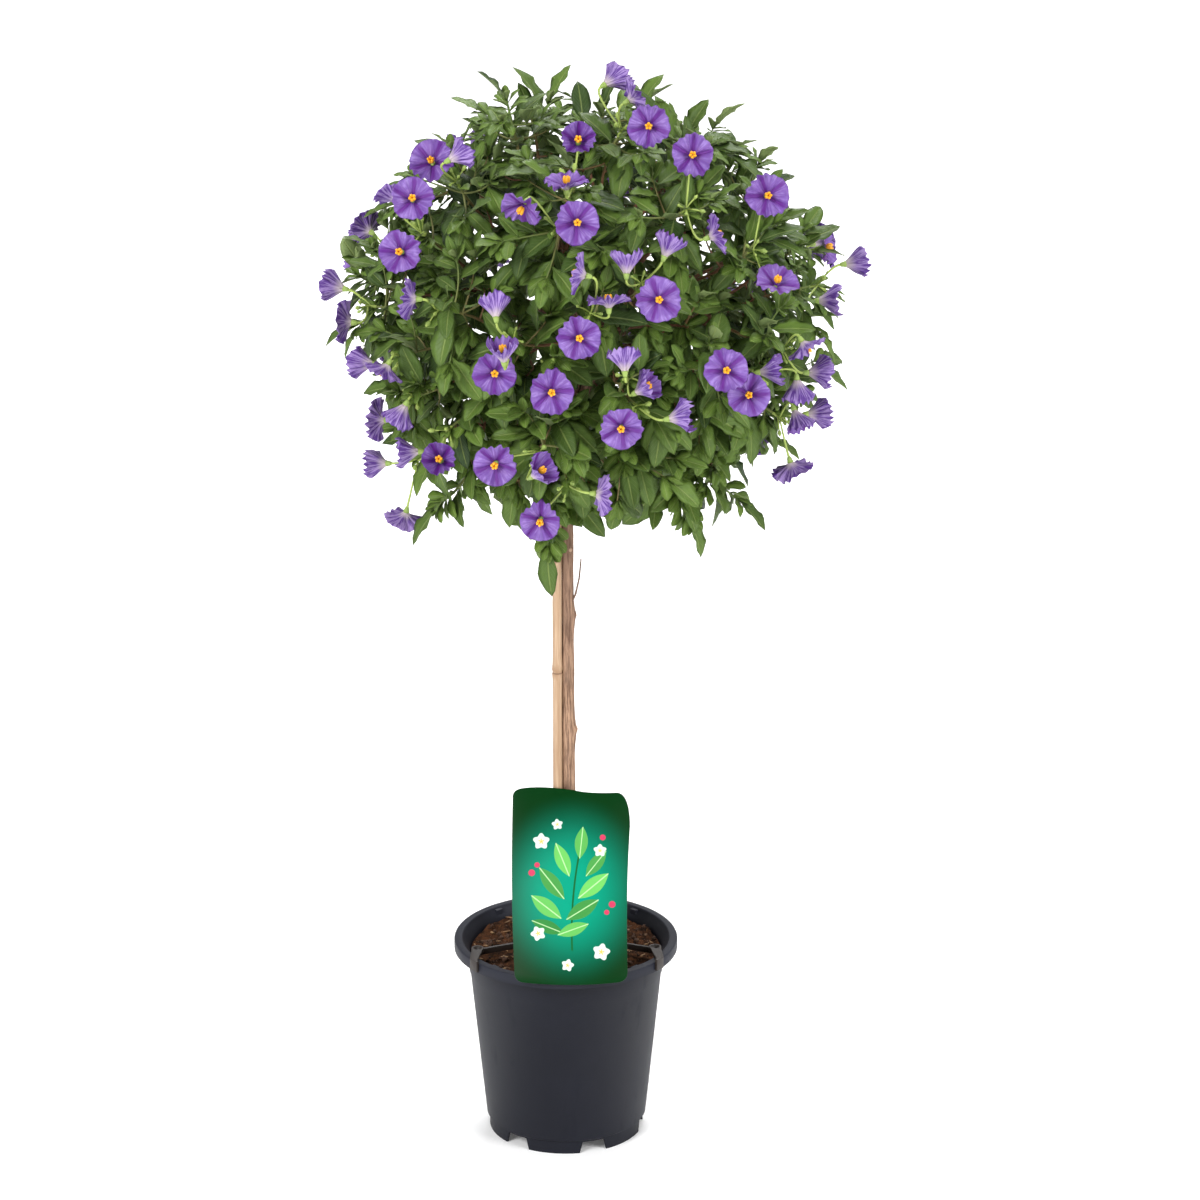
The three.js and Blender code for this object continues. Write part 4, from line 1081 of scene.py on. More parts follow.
def shoot_curve(start, end, along, bend):
    """A bent shoot that ends at `end`, heading `along`; `bend` moves its middle sideways."""
    length = math.dist(start, end)
    return start, end - along * 0.45 * length + bend, end


def along_stretches(points, share):
    """A place on the straight stretches between the points, and their direction there."""
    steps = len(points) - 1
    index = min(steps - 1, math.floor(share * steps))
    start, end = points[index], points[index + 1]
    return start + (end - start) * (share * steps - index), unit(end - start)


def grow_stems():
    stems = []
    for index, direction in enumerate(spread(STEM_COUNT, -0.62, 0.97, 0.6)):
        start, end = crown_point(direction, LIMB_REACH), crown_point(direction, STEM_REACH)
        along = unit(end - start)
        fork, _ = trunk_line(FIRST_FORK + 2.4 * index)
        limb = shoot_curve(fork, start, along, np.array([0, 0, 4]))
        root = start + along * GAP
        limb_points = evenly_along(limb, np.linspace(0, 1, STRETCHES + 1))
        room.take(rod_boxes(limb_points, LIMB_RADIUS + CLEARANCE), TRUNK_OWNER)
        room.take(rod_boxes([root, end], STEM_RADIUS + CLEARANCE), index)
        stems.append({"direction": direction, "limb": limb, "root": root, "end": end,
                      "shoots": [], "leaves": []})
    return stems


all_shoots = []


def add_shoot(stems, tip, along, seed, blooming):
    """Adds a shoot to the stem that points most nearly its way, bent clear of other stems."""
    draw = draws(seed)
    owner = int(np.argmax([stem["direction"] @ outward_at(tip) for stem in stems]))
    stem = stems[owner]
    start = stem["root"] + (stem["end"] - stem["root"]) * (0.3 + 0.65 * draw())
    for attempt in range(60):
        first, second, _ = frame_along(along)
        swing = 6 + attempt * 0.9
        bend = first * (draw() - 0.5) * swing
        bend = bend + second * (draw() - 0.5) * swing
        curve = shoot_curve(start, tip, along, bend)
        points = evenly_along(curve, np.linspace(0, 1, STRETCHES + 1))
        boxes = rod_boxes(points, SHOOT_RADIUS + CLEARANCE)
        if not room.is_clear(boxes, room.owners[:room.count] != owner):
            continue
        shoot = {"curve": curve, "points": points, "owner": owner, "blooming": blooming,
                 "seed": seed, "number": len(all_shoots)}
        all_shoots.append(shoot)
        room.take(boxes, owner, shoot["number"])
        stem["shoots"].append(shoot)
        return shoot
    return None


def bloom_at(centre, facing, is_open, peduncle_tip, draw):
    """A bloom turned towards `facing`, as far as its stalk can still meet its back."""
    size = OPEN_BLOOM if is_open else SMALL_BLOOM
    along = unit(facing)
    approach = unit(centre - peduncle_tip)
    for _ in range(MOST_TURNS):
        if unit(centre - along * size["depth"] - peduncle_tip) @ along >= LEAST_TURN:
            break
        along = unit(along + approach * 0.2)
    first, second, _ = frame_along(along)
    radius = size["radius"] + 1.2 * draw()
    spin = draw() * FULL_TURN
    across = first * math.cos(spin) + second * math.sin(spin)
    return {"centre": centre, "along": along, "across": across, "side": np.cross(along, across),
            "radius": radius, "back": centre - along * size["depth"], "open": is_open}


def bloom_boxes(bloom, peduncle_tip):
    """The boxes round a bloom's head, and those round its stalk."""
    centre, along, across, side = bloom["centre"], bloom["along"], bloom["across"], bloom["side"]
    reach = 1.02 * bloom["radius"]
    points = [centre + across * reach * math.cos(step * math.pi / 4)
              + side * reach * math.sin(step * math.pi / 4) for step in range(8)]
    middle = centre + (bloom["back"] - centre) * 0.5
    points += [centre + along * 3.5, middle]
    cup = box_round(points, (across, side, along), CLEARANCE)
    neck = rod_boxes([middle, bloom["back"]], 5)[0]
    return [cup, neck], rod_boxes([peduncle_tip, bloom["back"]], PEDICEL_RADIUS + CLEARANCE)


def grow_spray(stems, wanted, number):
    """A spray on a shoot of its own, with each wanted bloom that finds room near its place."""
    mean = sum(centre for centre, _, _ in wanted) / len(wanted)
    along = outward_at(mean)
    for _, facing, _ in wanted:
        along = along + facing * FACING_SWAY / len(wanted)
    along = unit(along)
    tip = mean - along * (SPRAY_INSET if len(wanted) > 1 else SINGLE_INSET)
    shoot = add_shoot(stems, tip, along, 100 + number, True)
    if shoot is None:
        return None
    draw = draws(500 + number)
    start = tip + along * GAP
    peduncle_tip = start + along * PEDUNCLE
    heads, stalks = FIRST_SPRAY_OWNER + 2 * number, FIRST_SPRAY_OWNER + 2 * number + 1
    room.take(rod_boxes([start, peduncle_tip], PEDUNCLE_RADIUS + CLEARANCE), stalks)
    blooms = []
    for centre, facing, is_open in wanted:
        for attempt in range(40):
            spot = centre + shake(draw) * attempt * 0.8
            look = facing + shake(draw) * (0.3 + attempt * 0.02)
            bloom = bloom_at(spot, look, is_open, peduncle_tip, draw)
            head, stalk = bloom_boxes(bloom, peduncle_tip)
            others = (room.shoots != shoot["number"]) & (room.owners != stalks)
            if not room.is_clear(head, others[:room.count]):
                continue
            others = others & (room.owners != heads)
            if not room.is_clear(stalk, others[:room.count]):
                continue
            room.take(head, heads)
            room.take(stalk, stalks)
            blooms.append(bloom)
            break
    return {"start": start, "peduncle_tip": peduncle_tip, "along": along, "blooms": blooms}


def front_sprays(stems):
    sprays = []
    for number, spray in enumerate(FRONT_SPRAYS):
        wanted = []
        for x, z, letter in spray:
            centre = front_point(x, z)
            facing = np.array(FACINGS[letter.upper()]) + outward_at(centre) * 0.35
            wanted.append((centre, facing, letter.isupper()))
        sprays.append(grow_spray(stems, wanted, number))
    return sprays


def back_sprays(stems):
    """On the far side the sprays follow a rule: two blooms each, spread evenly."""
    places = [way for way in spread(2 * BACK_SPRAYS + 6, -0.75, 0.85, 2.1) if way[1] > 0.18]
    sprays = []
    for index, way in enumerate(places[:BACK_SPRAYS]):
        draw = draws(900 + index)
        first, second, _ = frame_along(way)
        wanted = []
        for side in (-1, 1):
            centre = crown_point(way, 0.99 + 0.05 * draw())
            centre = centre + first * side * (13 + 6 * draw())
            centre = centre + second * side * 12 * (draw() - 0.3)
            facing = outward_at(centre) + first * side * 0.5
            wanted.append((centre, facing, draw() < 0.75))
        sprays.append(grow_spray(stems, wanted, len(FRONT_SPRAYS) + index))
    return sprays


def grow_free_shoots(stems):
    """The sprigs that stand out of the outline, and shoots without blooms inside it."""
    for index, place in enumerate(SPRIGS):
        tip = np.array(place, float)
        add_shoot(stems, tip, unit(outward_at(tip) + np.array([0, 0, 0.35])), 300 + index, False)
    for index, way in enumerate(spread(FREE_SHOOTS, -0.85, 0.9, 4)):
        draw = draws(400 + index)
        add_shoot(stems, crown_point(way, 0.66 + 0.14 * draw()), way, 340 + index, False)


def blade_half(share):
    """Half the width of a blade, as a share of its full width, at a share of its length."""
    return 0.5 * np.sin(np.pi * np.minimum(1, share) ** 0.9) ** 0.65


def leaf_spot(leaf, share, across):
    """A point of the folded, drooping blade, from -1 to 1 across it."""
    half = leaf["width"] * blade_half(share)
    raised = leaf["fold"] * half * abs(across) - leaf["droop"] * leaf["length"] * share * share
    return (leaf["base"] + leaf["along"] * leaf["length"] * share + leaf["side"] * half * across
            + leaf["up"] * raised)


def leaf_boxes(leaf):
    rows = [[leaf_spot(leaf, share, across) for across in (-1, 0, 1)]
            for share in (0.14, *LEAF_STATIONS, 1)]
    blade = []
    for part in ((0, 1, 2), (2, 3, 4)):
        along = unit(rows[part[2]][1] - rows[part[0]][1])
        points = [point for row in part for point in rows[row]]
        axes = (leaf["side"], np.cross(leaf["side"], along), along)
        blade.append(box_round(points, axes, LEAF_THICKNESS / 2 + CLEARANCE))
    return blade, rod_boxes([leaf["base"], rows[0][1]], 1.8)[0]


def leaf_at(base, heading, turn, tilt, length, draw):
    """A leaf that leaves a shoot's heading by its tilt, to the side that its turn gives."""
    first, second, _ = frame_along(heading)
    sideways = first * math.cos(turn) + second * math.sin(turn)
    along = heading * math.cos(tilt) + sideways * math.sin(tilt)
    along[2] -= 0.18
    along = unit(along)
    up = outward_at(base) * 0.6 + np.array([0, -0.1, 0.7])
    up = unit(up - along * (up @ along))
    width = length * (0.4 + 0.1 * draw())
    return {"base": base, "along": along, "up": up, "side": np.cross(along, up), "length": length,
            "width": width, "fold": 0.25 + 0.2 * draw(), "droop": 0.05 + 0.22 * draw()}


def grow_leaves(stems):
    """Leaves in layers from the shoots' tips inwards, each where it clears all that is there."""
    shoots = [shoot for stem in stems for shoot in stem["shoots"]]
    for layer in range(LEAVES_A_FREE_SHOOT):
        for shoot in shoots:
            if shoot["blooming"] and layer >= LEAVES_A_BLOOM_SHOOT:
                continue
            draw = draws(2000 + shoot["seed"] * 8 + layer)
            share = 0.92 - layer * 0.2 if shoot["blooming"] else 0.99 - layer * 0.15
            length = (LEAF_LENGTH + LEAF_GROWTH * draw()) * (0.85 if share > 0.97 else 1)
            for attempt in range(14):
                turn = layer * 2.4 + shoot["seed"] + attempt * 1.1
                tilt = 0.25 * draw() if share > 0.97 else 0.75 + 0.45 * draw()
                base, heading = along_stretches(shoot["points"], share)
                leaf = leaf_at(base, heading, turn, tilt, length, draw)
                blade, stalk = leaf_boxes(leaf)
                others = room.shoots[:room.count] != shoot["number"]
                if not room.is_clear([*blade, stalk], others):
                    continue
                room.take(blade, shoot["owner"])
                room.take([stalk], shoot["owner"], shoot["number"])
                leaf["shift"] = evenly_along(shoot["curve"], share) - base
                stems[shoot["owner"]]["leaves"].append(leaf)
                break


cane_line = [np.array([*CANE_AXIS, height], float) for height in (CANE_FOOT, CANE_TOP)]
room.take(rod_boxes([TRUNK_FOOT, TRUNK_TOP], TRUNK_FOOT_RADIUS + CLEARANCE), TRUNK_OWNER)
room.take(rod_boxes(cane_line, CANE_RADIUS + 0.5 + CLEARANCE), CANE_OWNER)
stems = grow_stems()
sprays = [spray for spray in front_sprays(stems) + back_sprays(stems) if spray]
grow_free_shoots(stems)
grow_leaves(stems)


# The limbs: the woody arms at the trunk's head, one to each leafy stem, hidden in the crown. They
# are the trunk's own wood and grow out of it, under the same bark.
LIMB_POINTS = 12

limb_paths = []
for stem in stems:
    points = evenly_along(stem["limb"], np.linspace(0, 1, LIMB_POINTS))
    limb_paths.append((points, np.linspace(LIMB_RADIUS + 0.7, LIMB_RADIUS - 0.3, LIMB_POINTS)))
limbs = rods("limbs", limb_paths, 10)
dress(limbs, "bark", bark)


# The leafy stems: reddish twigs that grow on from the limbs, with lance-shaped leaves whose edges
# wave a little. Side twigs fill the crown between the shoots, and each tip ends in a rosette of
# young leaves.
LEAF_COLUMNS = 4
LEAF_ROWS = 9
YOUNG_LEAF_COLUMNS = 2
YOUNG_LEAF_ROWS = 5
BLADE_THICKNESS = 0.3
STALK_SHARE = 0.1
STALK_HALF = 0.5
TWIG_POINTS = 9
FILL_SHELLS = [
    # share of the way to the crown's surface, number of side twigs
    (0.89, 190), (0.8, 170), (0.68, 110), (0.52, 60), (0.36, 24),
]
UNDERSIDE_RISE = 0.14
LONGEST_SIDE_TWIG = 85
OUTER_SIDE_COST = 60
TIP_ROSETTE = 14
SIDE_ROSETTE = 6
FACE_ROOM = 24
# The places on a leaf that have to be free: share of its length, and how far across from -1 to 1.
PROBES = [(0.3, 0), (0.55, -1), (0.55, 1), (0.75, 0), (1, 0)]


def thin_form(columns, rows):
    """A flat blade of two sheets that meet at its edges, one unit wide and long."""
    bpy.ops.mesh.primitive_grid_add(x_subdivisions=columns, y_subdivisions=rows, size=1)
    blade = bpy.context.object
    use_modifier(blade, "SOLIDIFY", thickness=1, offset=0)
    for spot in blade.data.vertices:
        if max(abs(spot.co.x), abs(spot.co.y)) > 0.499:
            spot.co.z = 0
    return merged_form(blade, lambda spot, middle: (spot.x + 0.5, spot.y + 0.5))


def merged_form(piece, place_on_map):
    """The form of a piece with its doubles merged; its underside lies one unit up on the map."""
    edit_all()
    bpy.ops.mesh.remove_doubles(threshold=0.0001)
    bpy.ops.object.mode_set(mode="OBJECT")
    places = []
    for face in piece.data.polygons:
        for vertex in face.vertices:
            u, v = place_on_map(piece.data.vertices[vertex].co, face.center)
            places.append((u, v + (1 if face.normal.z < -0.1 else 0)))
    form = form_of(piece)
    form["map"] = np.array(places)
    return form


leaf_form = thin_form(LEAF_COLUMNS, LEAF_ROWS)
young_leaf_form = thin_form(YOUNG_LEAF_COLUMNS, YOUNG_LEAF_ROWS)


def young_half(share):
    """Half the width of a young blade, as a share of its width: blunt, and widest past its middle."""
    return 0.5 * np.sin(np.pi * share ** 1.35) ** 0.6


def blade_points(leaf, form, draw):
    """The form bent to the leaf: narrowed to its outline, folded, drooped and waved."""
    across, share, sheet = form["points"].T * np.array([[2], [1], [2]])
    share = share + 0.5
    is_young = form is young_leaf_form
    if is_young:
        share = 1 - (1 - share) ** 1.6
    blade_share = np.clip((share - STALK_SHARE) / (1 - STALK_SHARE), 0, 1)
    half = leaf["width"] * (young_half(blade_share) if is_young else blade_half(blade_share))
    half = np.maximum(half, STALK_HALF * (1 - share))
    edge = np.abs(across)
    waves = 2.2 + 0.8 * draw()
    phase = 6 * draw()
    wave = 0.09 * leaf["width"] * edge ** 2 * np.sin(FULL_TURN * waves * share + phase + across)
    wave = wave * np.sin(math.pi * share)
    raised = leaf["fold"] * half * edge ** 1.25 - leaf["droop"] * leaf["length"] * share ** 2 + wave
    raised = raised + BLADE_THICKNESS / 2 * sheet
    swing = 0.07 * (draw() - 0.5) * leaf["length"] * share ** 2
    base = leaf["base"] + leaf.get("shift", 0)
    return (base + np.outer(leaf["length"] * share, leaf["along"])
            + np.outer(half * across + swing, leaf["side"]) + np.outer(raised, leaf["up"])) * MM


def bloom_faces():
    """Boxes over the open faces of the blooms, where no leaf may lie."""
    faces = Room()
    for spray in sprays:
        for bloom in spray["blooms"]:
            axes = np.array([bloom["across"], bloom["side"], bloom["along"]])
            reach = bloom["radius"] * 0.92
            centre = bloom["centre"] + bloom["along"] * (FACE_ROOM / 2 - 3)
            faces.take([(centre, np.array([reach, reach, FACE_ROOM / 2]), axes)], 0)
    return faces


faces = bloom_faces()


def is_free(leaf):
    """True if the leaf lies over no bloom's face and over next to nothing that grew before."""
    points = np.array([leaf_spot(leaf, share, across) for share, across in PROBES])
    return not faces.holds(points).any() and room.holds(points).sum() < 2


def nearest_shoot(target):
    """How near a shoot comes to a point on its inner side, which shoot, and where along it."""
    best = (math.inf, None, 0)
    reach = np.linalg.norm((target - CROWN_CENTRE) / CROWN_RADII)
    for shoot in all_shoots:
        shares = np.linspace(0.12, 0.92, 9)
        spots = bend_point(shoot["curve"], shares)
        inner = np.linalg.norm((spots - CROWN_CENTRE) / CROWN_RADII, axis=1) < reach + 0.02
        gaps = np.linalg.norm(spots - target, axis=1) + np.where(inner, 0, OUTER_SIDE_COST)
        at = int(gaps.argmin())
        if gaps[at] < best[0]:
            best = (gaps[at], shoot, float(shares[at]))
    return best


def side_twigs():
    """The twigs that fill the crown: each runs from the nearest shoot to a place of its own."""
    twigs = []
    for layer, (reach, count) in enumerate(FILL_SHELLS):
        for index, way in enumerate(spread(count, -0.94, 0.985, 1.3 + layer)):
            draw = draws(5000 + 400 * layer + index)
            way = unit(way + shake(draw) * 0.16)
            rise = UNDERSIDE_RISE * max(0, -way[2])
            target = crown_point(way, reach * (0.93 + 0.1 * draw() - rise))
            if faces.holds(target[None])[0]:
                continue
            gap, shoot, share = nearest_shoot(target)
            if shoot is None or gap > LONGEST_SIDE_TWIG:
                continue
            start = bend_point(shoot["curve"], share)
            length = math.dist(start, target)
            along = unit(unit(target - start) + 0.5 * outward_at(target))
            bend = shake(draw) * 0.14 * length
            curve = shoot_curve(start, target, along, bend)
            twigs.append({"curve": curve, "owner": shoot["owner"], "length": length, "draw": draw})
    return twigs


def twig_leaves(twig):
    """Leaves in turn along a side twig, where they find room."""
    draw = twig["draw"]
    count = max(2, round(twig["length"] / 9))
    leaves = []
    for number in range(count):
        share = 1 - 0.86 * number / count
        base = evenly_along(twig["curve"], share)
        heading = unit(base - evenly_along(twig["curve"], share - 0.08))
        size = (21 + 18 * draw()) * (0.8 if number == 0 else 1)
        for attempt in range(5):
            tilt = 0.3 * draw() if number == 0 else 0.7 + 0.5 * draw()
            turn = number * 2.4 + 6.3 * draw()
            leaf = leaf_at(base, heading, turn, tilt, size * (1 - 0.08 * attempt), draw)
            if is_free(leaf):
                leaf["tone"] = 0.28 + 0.6 * draw() * min(1, 0.4 + 0.25 * number)
                leaves.append(leaf)
                break
    return leaves


def rosette(tip, heading, count, draw):
    """Young leaves crowded round the tip of a shoot."""
    leaves = []
    for number in range(count):
        length = 7 + 9 * min(1, (number + 1) / 6) + 3 * draw()
        base = tip - heading * (0.9 * number + 0.16 * max(0, number - 5) ** 2)
        tilt = 0.25 + 0.75 * min(1, number / 6)
        leaf = leaf_at(base, heading, number * 2.4 + draw(), tilt, length, draw)
        leaf["width"] = 0.5 * length
        leaf["tone"] = 0.02 + 0.2 * draw()
        if not faces.holds(leaf_spot(leaf, 0.8, 0)[None])[0]:
            leaves.append(leaf)
    return leaves


twigs = side_twigs()
foliage = [Bunch() for _ in stems]
wood = [[] for _ in stems]
for index, stem in enumerate(stems):
    draw = draws(8000 + index)
    stem_points = [stem["root"], (stem["root"] + stem["end"]) / 2, stem["end"]]
    wood[index].append((stem_points, [2.2, 2.05, 1.7]))
    for leaf in stem["leaves"]:
        foliage[index].add(leaf_form, blade_points(leaf, leaf_form, draw), 0.45 + 0.55 * draw())
    for shoot in stem["shoots"]:
        points = evenly_along(shoot["curve"], np.linspace(0, 1, TWIG_POINTS))
        wood[index].append((points, np.linspace(1.45, 0.85, TWIG_POINTS)))
        heading = unit(points[-1] - points[-2])
        if not shoot["blooming"]:
            for leaf in rosette(points[-1], heading, TIP_ROSETTE, draw):
                points_of_leaf = blade_points(leaf, young_leaf_form, draw)
                foliage[index].add(young_leaf_form, points_of_leaf, leaf["tone"])
for twig in twigs:
    draw = twig["draw"]
    bunch = foliage[twig["owner"]]
    points = evenly_along(twig["curve"], np.linspace(0, 1, TWIG_POINTS))
    wood[twig["owner"]].append((points, np.linspace(0.85, 0.45, TWIG_POINTS)))
    for leaf in twig_leaves(twig):
        bunch.add(leaf_form, blade_points(leaf, leaf_form, draw), leaf["tone"])
    for leaf in rosette(points[-1], unit(points[-1] - points[-2]), SIDE_ROSETTE, draw):
        bunch.add(young_leaf_form, blade_points(leaf, young_leaf_form, draw), leaf["tone"])

leaf_green = Finish("leaf_green")
leaf_across, leaf_along = leaf_green.across()
underside = leaf_along.above(1)
along = leaf_along - underside
aside = (leaf_across - 0.5).size() * 2
age = leaf_green.tone()
mottle = leaf_green.noise(leaf_green.place(), 160, 3)
upper = leaf_green.mix(age, linear(110, 138, 56), linear(40, 60, 28))
upper = leaf_green.mix(mottle.step(0.35, 0.7) * 0.3, upper, linear(66, 88, 44))
lower = leaf_green.mix(age, linear(134, 152, 94), linear(100, 116, 76))
midrib = 1 - aside.step(0.03, 0.12)
vein = ((along * 9 - aside * 2.6) * 2 * math.pi).wave()
side_vein = vein.step(0.86, 1) * (1 - aside.step(0.75, 1))
blade = leaf_green.mix(underside, upper, lower)
blade = leaf_green.mix(midrib * 0.45, blade, linear(146, 162, 92))
leaf_green.set("Base Color", leaf_green.mix(side_vein * 0.16, blade, linear(120, 142, 78)))
leaf_green.set("Roughness", 0.4 + 0.2 * underside + 0.14 * mottle)
leaf_green.set("Specular IOR Level", 0.24)
leaf_green.bump(0 - midrib - 0.5 * side_vein + 0.4 * mottle, 0.0004)

twig_finish = Finish("twig_bark", Roughness=0.7)
twig_x, twig_y, twig_z = twig_finish.parts(twig_finish.place())
reach = sum((((axis - centre * MM) / (radius * MM)) * ((axis - centre * MM) / (radius * MM))
             for axis, centre, radius in zip((twig_x, twig_y, twig_z), CROWN_CENTRE, CROWN_RADII)), 0)
twig_grain = twig_finish.noise(twig_finish.place(), 500, 3)
woody = twig_finish.mix(twig_grain, linear(96, 62, 44), linear(140, 98, 66))
twig_finish.set("Base Color", twig_finish.mix(reach.step(0.35, 0.85), woody, linear(104, 128, 62)))
twig_finish.bump(twig_grain, 0.0002)

for index, stem in enumerate(stems):
    number = f"{index + 1:02d}"
    leaves = foliage[index].piece("leaves_" + number)
    leaves.data.materials.append(leaf_green.material)
    twigs_of_stem = rods("twigs_" + number, wood[index])
    twigs_of_stem.data.materials.append(twig_finish.material)
    leafy_stem = join_pieces(leaves, twigs_of_stem)
    leafy_stem.name = "leafy_branch_" + number
    dress(leafy_stem, "leaf_green")
    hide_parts("leafy_stem_" + number)


# The bloom sprays: on each peduncle one to three blooms, a few buds and young leaves. A bloom is a
# pleated violet funnel of five joined lobes with a dark star, out of a green cup, round five golden
# anthers. Each spray grows on from its shoot's tip.
COROLLA_CORNERS = 70
COROLLA_RINGS = (0.93, 0.82, 0.68, 0.52, 0.36, 0.22, 0.1)
PETAL_THICKNESS = 0.24
LOBES = 5
# Along the funnel from its tube to its rim: share, radius as a share of the rim's, height as a share
# of the depth.
OPEN_FUNNEL = ((0.1, 0.07, -1), (0.22, 0.13, -0.66), (0.36, 0.27, -0.42), (0.52, 0.47, -0.27),
               (0.68, 0.66, -0.16), (0.82, 0.82, -0.07), (1, 1, 0))
SMALL_FUNNEL = ((0.1, 0.1, -1), (0.22, 0.22, -0.78), (0.36, 0.4, -0.58), (0.52, 0.59, -0.4),
                (0.68, 0.76, -0.25), (0.82, 0.89, -0.12), (1, 1, 0))
CALYX_LENGTH = 4.4
CALYX_CORNERS = 10
CALYX_SUNK = 2.2
ANTHER_LENGTH = 5.6
ANTHER_RADIUS = 1.25
ANTHER_RING = 1.55
SPRAY_LEAVES = 5
BUDS_A_SPRAY = 4

bpy.ops.mesh.primitive_circle_add(vertices=COROLLA_CORNERS, radius=1)
corolla = bpy.context.object
edit_all()
ring_now = 1
for ring in COROLLA_RINGS:
    bpy.ops.mesh.extrude_region_move()
    bpy.ops.transform.resize(value=(ring / ring_now, ring / ring_now, 1), center_override=(0, 0, 0))
    ring_now = ring
close_shell()
use_modifier(corolla, "SOLIDIFY", thickness=0.02, offset=0)
for spot in corolla.data.vertices:
    reach = math.hypot(spot.co.x, spot.co.y)
    is_at_edge = reach > 0.995 or reach < COROLLA_RINGS[-1] + 0.002
    spot.co.z = 0 if is_at_edge else math.copysign(0.5, spot.co.z)


def round_the_disc(spot, middle):
    """A place on the disc's map: its turn, kept whole over the seam, and its distance out."""
    turn = math.atan2(spot.y, spot.x)
    middle_turn = math.atan2(middle.y, middle.x)
    turn += FULL_TURN * round((middle_turn - turn) / FULL_TURN)
    return turn / FULL_TURN + 0.5, min(0.999, math.hypot(spot.x, spot.y))


corolla_form = merged_form(corolla, round_the_disc)
calyx_profile = [(0.35, 0), (1.25, 0.5), (1.75, 1.7), (1.95, 3), (2.35, CALYX_LENGTH)]
calyx_form = form_of(turned_piece("calyx", calyx_profile, CALYX_CORNERS))
bpy.ops.mesh.primitive_uv_sphere_add(segments=8, ring_count=6, radius=1)
anther_form = form_of(bpy.context.object)


def place_form(points, centre, across, side, along):
    """Points given across, aside and along an axis, put in place in metres."""
    return (centre + points @ np.array([across, side, along])) * MM


def corolla_points(bloom, draw):
    """The flat ring bent to a bloom: a funnel with five lobes, pleats and a ruffled rim."""
    x, y, sheet = corolla_form["points"].T
    out = np.hypot(x, y)
    turn = np.arctan2(y, x)
    shares, radii, heights = np.array(OPEN_FUNNEL if bloom["open"] else SMALL_FUNNEL).T
    depth = math.dist(bloom["centre"], bloom["back"])
    lobe = np.cos(LOBES * turn)
    rim = out ** 3
    phase, second_phase, third_phase = 6.3 * draw(), 6.3 * draw(), 6.3 * draw()
    ruffle = 0.8 + 0.9 * draw()
    crimp = np.cos(3 * LOBES * turn + phase) + 0.7 * np.cos(17 * turn + second_phase)
    sway = np.cos(2 * turn + second_phase) + 0.8 * np.cos(3 * turn + third_phase)
    reach = bloom["radius"] * np.interp(out, shares, radii)
    reach = reach * (1 - rim * (0.035 * (1 - lobe) + 0.024 * ruffle * crimp + 0.026 * sway))
    fold = 0.3 * rim - (1.9 * out - 1.05 * rim) * lobe * np.minimum(1, 4 * out)
    waves = ruffle * (0.9 * crimp + 0.9 * sway)
    height = depth * np.interp(out, shares, heights) + fold + rim * waves
    points = np.c_[reach * np.cos(turn), reach * np.sin(turn), height + PETAL_THICKNESS * sheet]
    return place_form(points, bloom["centre"], bloom["across"], bloom["side"], bloom["along"])


def calyx_points(foot, across, side, along, size):
    """The green cup with its five teeth, with its foot at a place."""
    points = calyx_form["points"]
    turn = np.arctan2(points[:, 1], points[:, 0])
    top = points[:, 2] > CALYX_LENGTH - 0.01
    points = points * size + np.outer(np.where(top, 0.9 * size * np.cos(LOBES * turn), 0), (0, 0, 1))
    return place_form(points, foot, across, side, along)


def add_bloom(bunch, stalks, bloom, peduncle_tip, draw):
    """A corolla in its cup with its five anthers, on its stalk."""
    across, side, along = bloom["across"], bloom["side"], bloom["along"]
    tone = draw()
    bunch.add(corolla_form, corolla_points(bloom, draw), tone, 0)
    foot = bloom["back"] - along * (CALYX_LENGTH - CALYX_SUNK)
    bunch.add(calyx_form, calyx_points(foot, across, side, along, 1), 0.4 + 0.3 * draw(), 1)
    sunk = 0 if bloom["open"] else -4.5
    for number in range(LOBES):
        angle = FULL_TURN * (number + 0.5) / LOBES
        lean = np.array([math.cos(angle), math.sin(angle), 0])
        points = anther_form["points"] * np.array([ANTHER_RADIUS, ANTHER_RADIUS, ANTHER_LENGTH / 2])
        points = points + lean * (ANTHER_RING + 0.12 * points[:, 2:]) + np.array([0, 0, 0.2 + sunk])
        bunch.add(anther_form, place_form(points, bloom["centre"], across, side, along), draw(), 2)
    length = math.dist(peduncle_tip, foot)
    curve = (peduncle_tip, foot - along * min(7, 0.25 * length), foot)
    stalks.append((bend_point(curve, np.linspace(0, 1, 7)), np.linspace(0.6, 0.95, 7)))


def add_bud(bunch, stalks, root, way, length, size, draw):
    """A closed bud in its green cup, on a thin stalk."""
    first, second, _ = frame_along(way)
    foot = root + way * length
    bunch.add(calyx_form, calyx_points(foot, first, second, way, size), 0.1 + 0.4 * draw(), 1)
    points = anther_form["points"] * np.array([1.7, 1.7, 2.6]) * size + np.array([0, 0, 4.2 * size])
    bunch.add(anther_form, place_form(points, foot, first, second, way), draw() * 0.6, 1)
    middle = root + way * length * 0.5 + np.array([0, 0, 0.12 * length])
    stalks.append((bend_point((root, middle, foot), np.linspace(0, 1, 5)), np.linspace(0.45, 0.6, 5)))


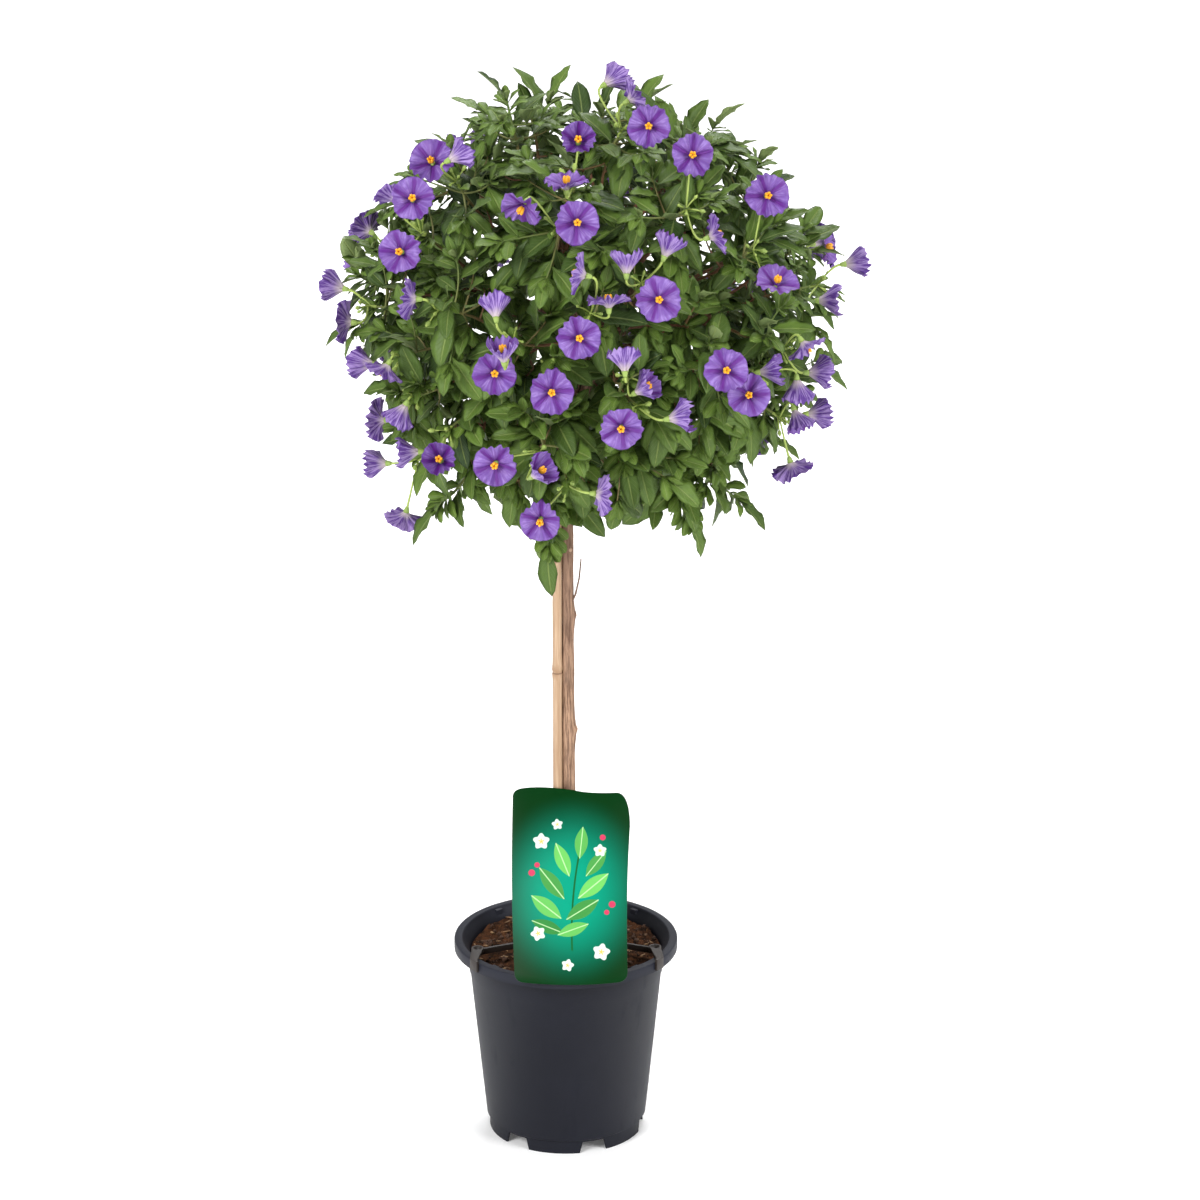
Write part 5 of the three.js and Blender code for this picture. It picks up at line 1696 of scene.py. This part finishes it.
petal = Finish("bloom_violet", Roughness=0.62)
petal_turn, petal_out = petal.across()
outside = petal_out.above(1)
out = petal_out - outside
lobe = (petal_turn * (FULL_TURN * LOBES) - math.pi * LOBES + math.pi / 2).wave()
fine = {0: petal_turn * 46, 1: out * 1.6, 2: petal.tone() * 9}
streak = petal.noise(petal.node("ShaderNodeCombineXYZ", {}, fine), 1, 3, 0.6)
cloud = petal.noise(petal.place(), 170, 4)
from_ray = out * lobe.math("ARCCOSINE", lobe, 0) / LOBES
from_ray = from_ray + 0.14 * (streak - 0.5) + 0.06 * (cloud - 0.5)
ray = (1 - from_ray.step(0.03, 0.16)) * (1 - 0.45 * out.step(0.75, 1))
# Round each ray of the dark star, in the crease of its fold, the petal is painted darker: painted shade
# in the pleats.
painted_crease_shade = (1 - from_ray.step(0.1, 0.36)) * (1 - 0.4 * out)
velvet = petal.mix(petal.tone(), linear(102, 66, 142), linear(118, 84, 158))
inner = petal.mix(streak.step(0.42, 0.66) * 0.75, velvet, linear(148, 122, 190))
inner = petal.mix(cloud.step(0.42, 0.6) * 0.5, inner, linear(92, 54, 140))
inner = petal.mix(painted_crease_shade * 0.5, inner, linear(96, 36, 142))
inner = petal.mix(ray * 0.92, inner, linear(84, 8, 120))
inner = petal.mix(1 - out.step(0.1, 0.18), inner, linear(190, 172, 110))
outer = petal.mix(streak.step(0.42, 0.58), linear(146, 120, 180), linear(80, 42, 128))
outer = petal.mix(1 - out.step(0.12, 0.5), outer, linear(200, 186, 186))
petal.set("Base Color", petal.mix(outside, inner, outer))
petal.bump(streak - 1.2 * ray, 0.0005)

green = Finish("bloom_green", Roughness=0.6)
green_noise = green.noise(green.place(), 600, 2)
pale_green = green.mix(green.tone(), linear(150, 172, 78), linear(104, 140, 62))
green.set("Base Color", green.mix(green_noise * 0.4, pale_green, linear(176, 186, 110)))
green.bump(green_noise, 0.00015)

anther = Finish("anther_gold", Roughness=0.55)
gold_noise = anther.noise(anther.place(), 1500, 2)
anther.set("Base Color", anther.mix(gold_noise, linear(222, 138, 12), linear(246, 190, 44)))
anther.bump(gold_noise, 0.0002)

for index, spray in enumerate(sprays):
    number = f"{index + 1:02d}"
    draw = draws(9000 + index)
    bunch = Bunch()
    stalks = [([spray["start"], spray["peduncle_tip"]], [1.05, 0.95])]
    for bloom in spray["blooms"]:
        add_bloom(bunch, stalks, bloom, spray["peduncle_tip"], draw)
    first, second, along = frame_along(spray["along"])
    for bud in range(BUDS_A_SPRAY):
        angle = FULL_TURN * (bud / BUDS_A_SPRAY) + draw()
        way = unit(along * (0.5 + 0.8 * draw()) + first * math.cos(angle) + second * math.sin(angle))
        root = spray["start"] + along * PEDUNCLE * (0.5 + 0.5 * draw())
        add_bud(bunch, stalks, root, way, 5 + 6 * draw(), 0.45 + 0.4 * draw(), draw)
    for leaf in rosette(spray["start"] + 2 * along, along, SPRAY_LEAVES, draw):
        bunch.add(young_leaf_form, blade_points(leaf, young_leaf_form, draw), leaf["tone"], 3)
    blooms = bunch.piece("blooms_" + number)
    for finish in (petal, green, anther, leaf_green):
        blooms.data.materials.append(finish.material)
    stalks_of_spray = rods("stalks_" + number, stalks)
    stalks_of_spray.data.materials.append(green.material)
    blooms = join_pieces(blooms, stalks_of_spray)
    dress(blooms, "bloom_violet")
    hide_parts("bloom_spray_" + number)
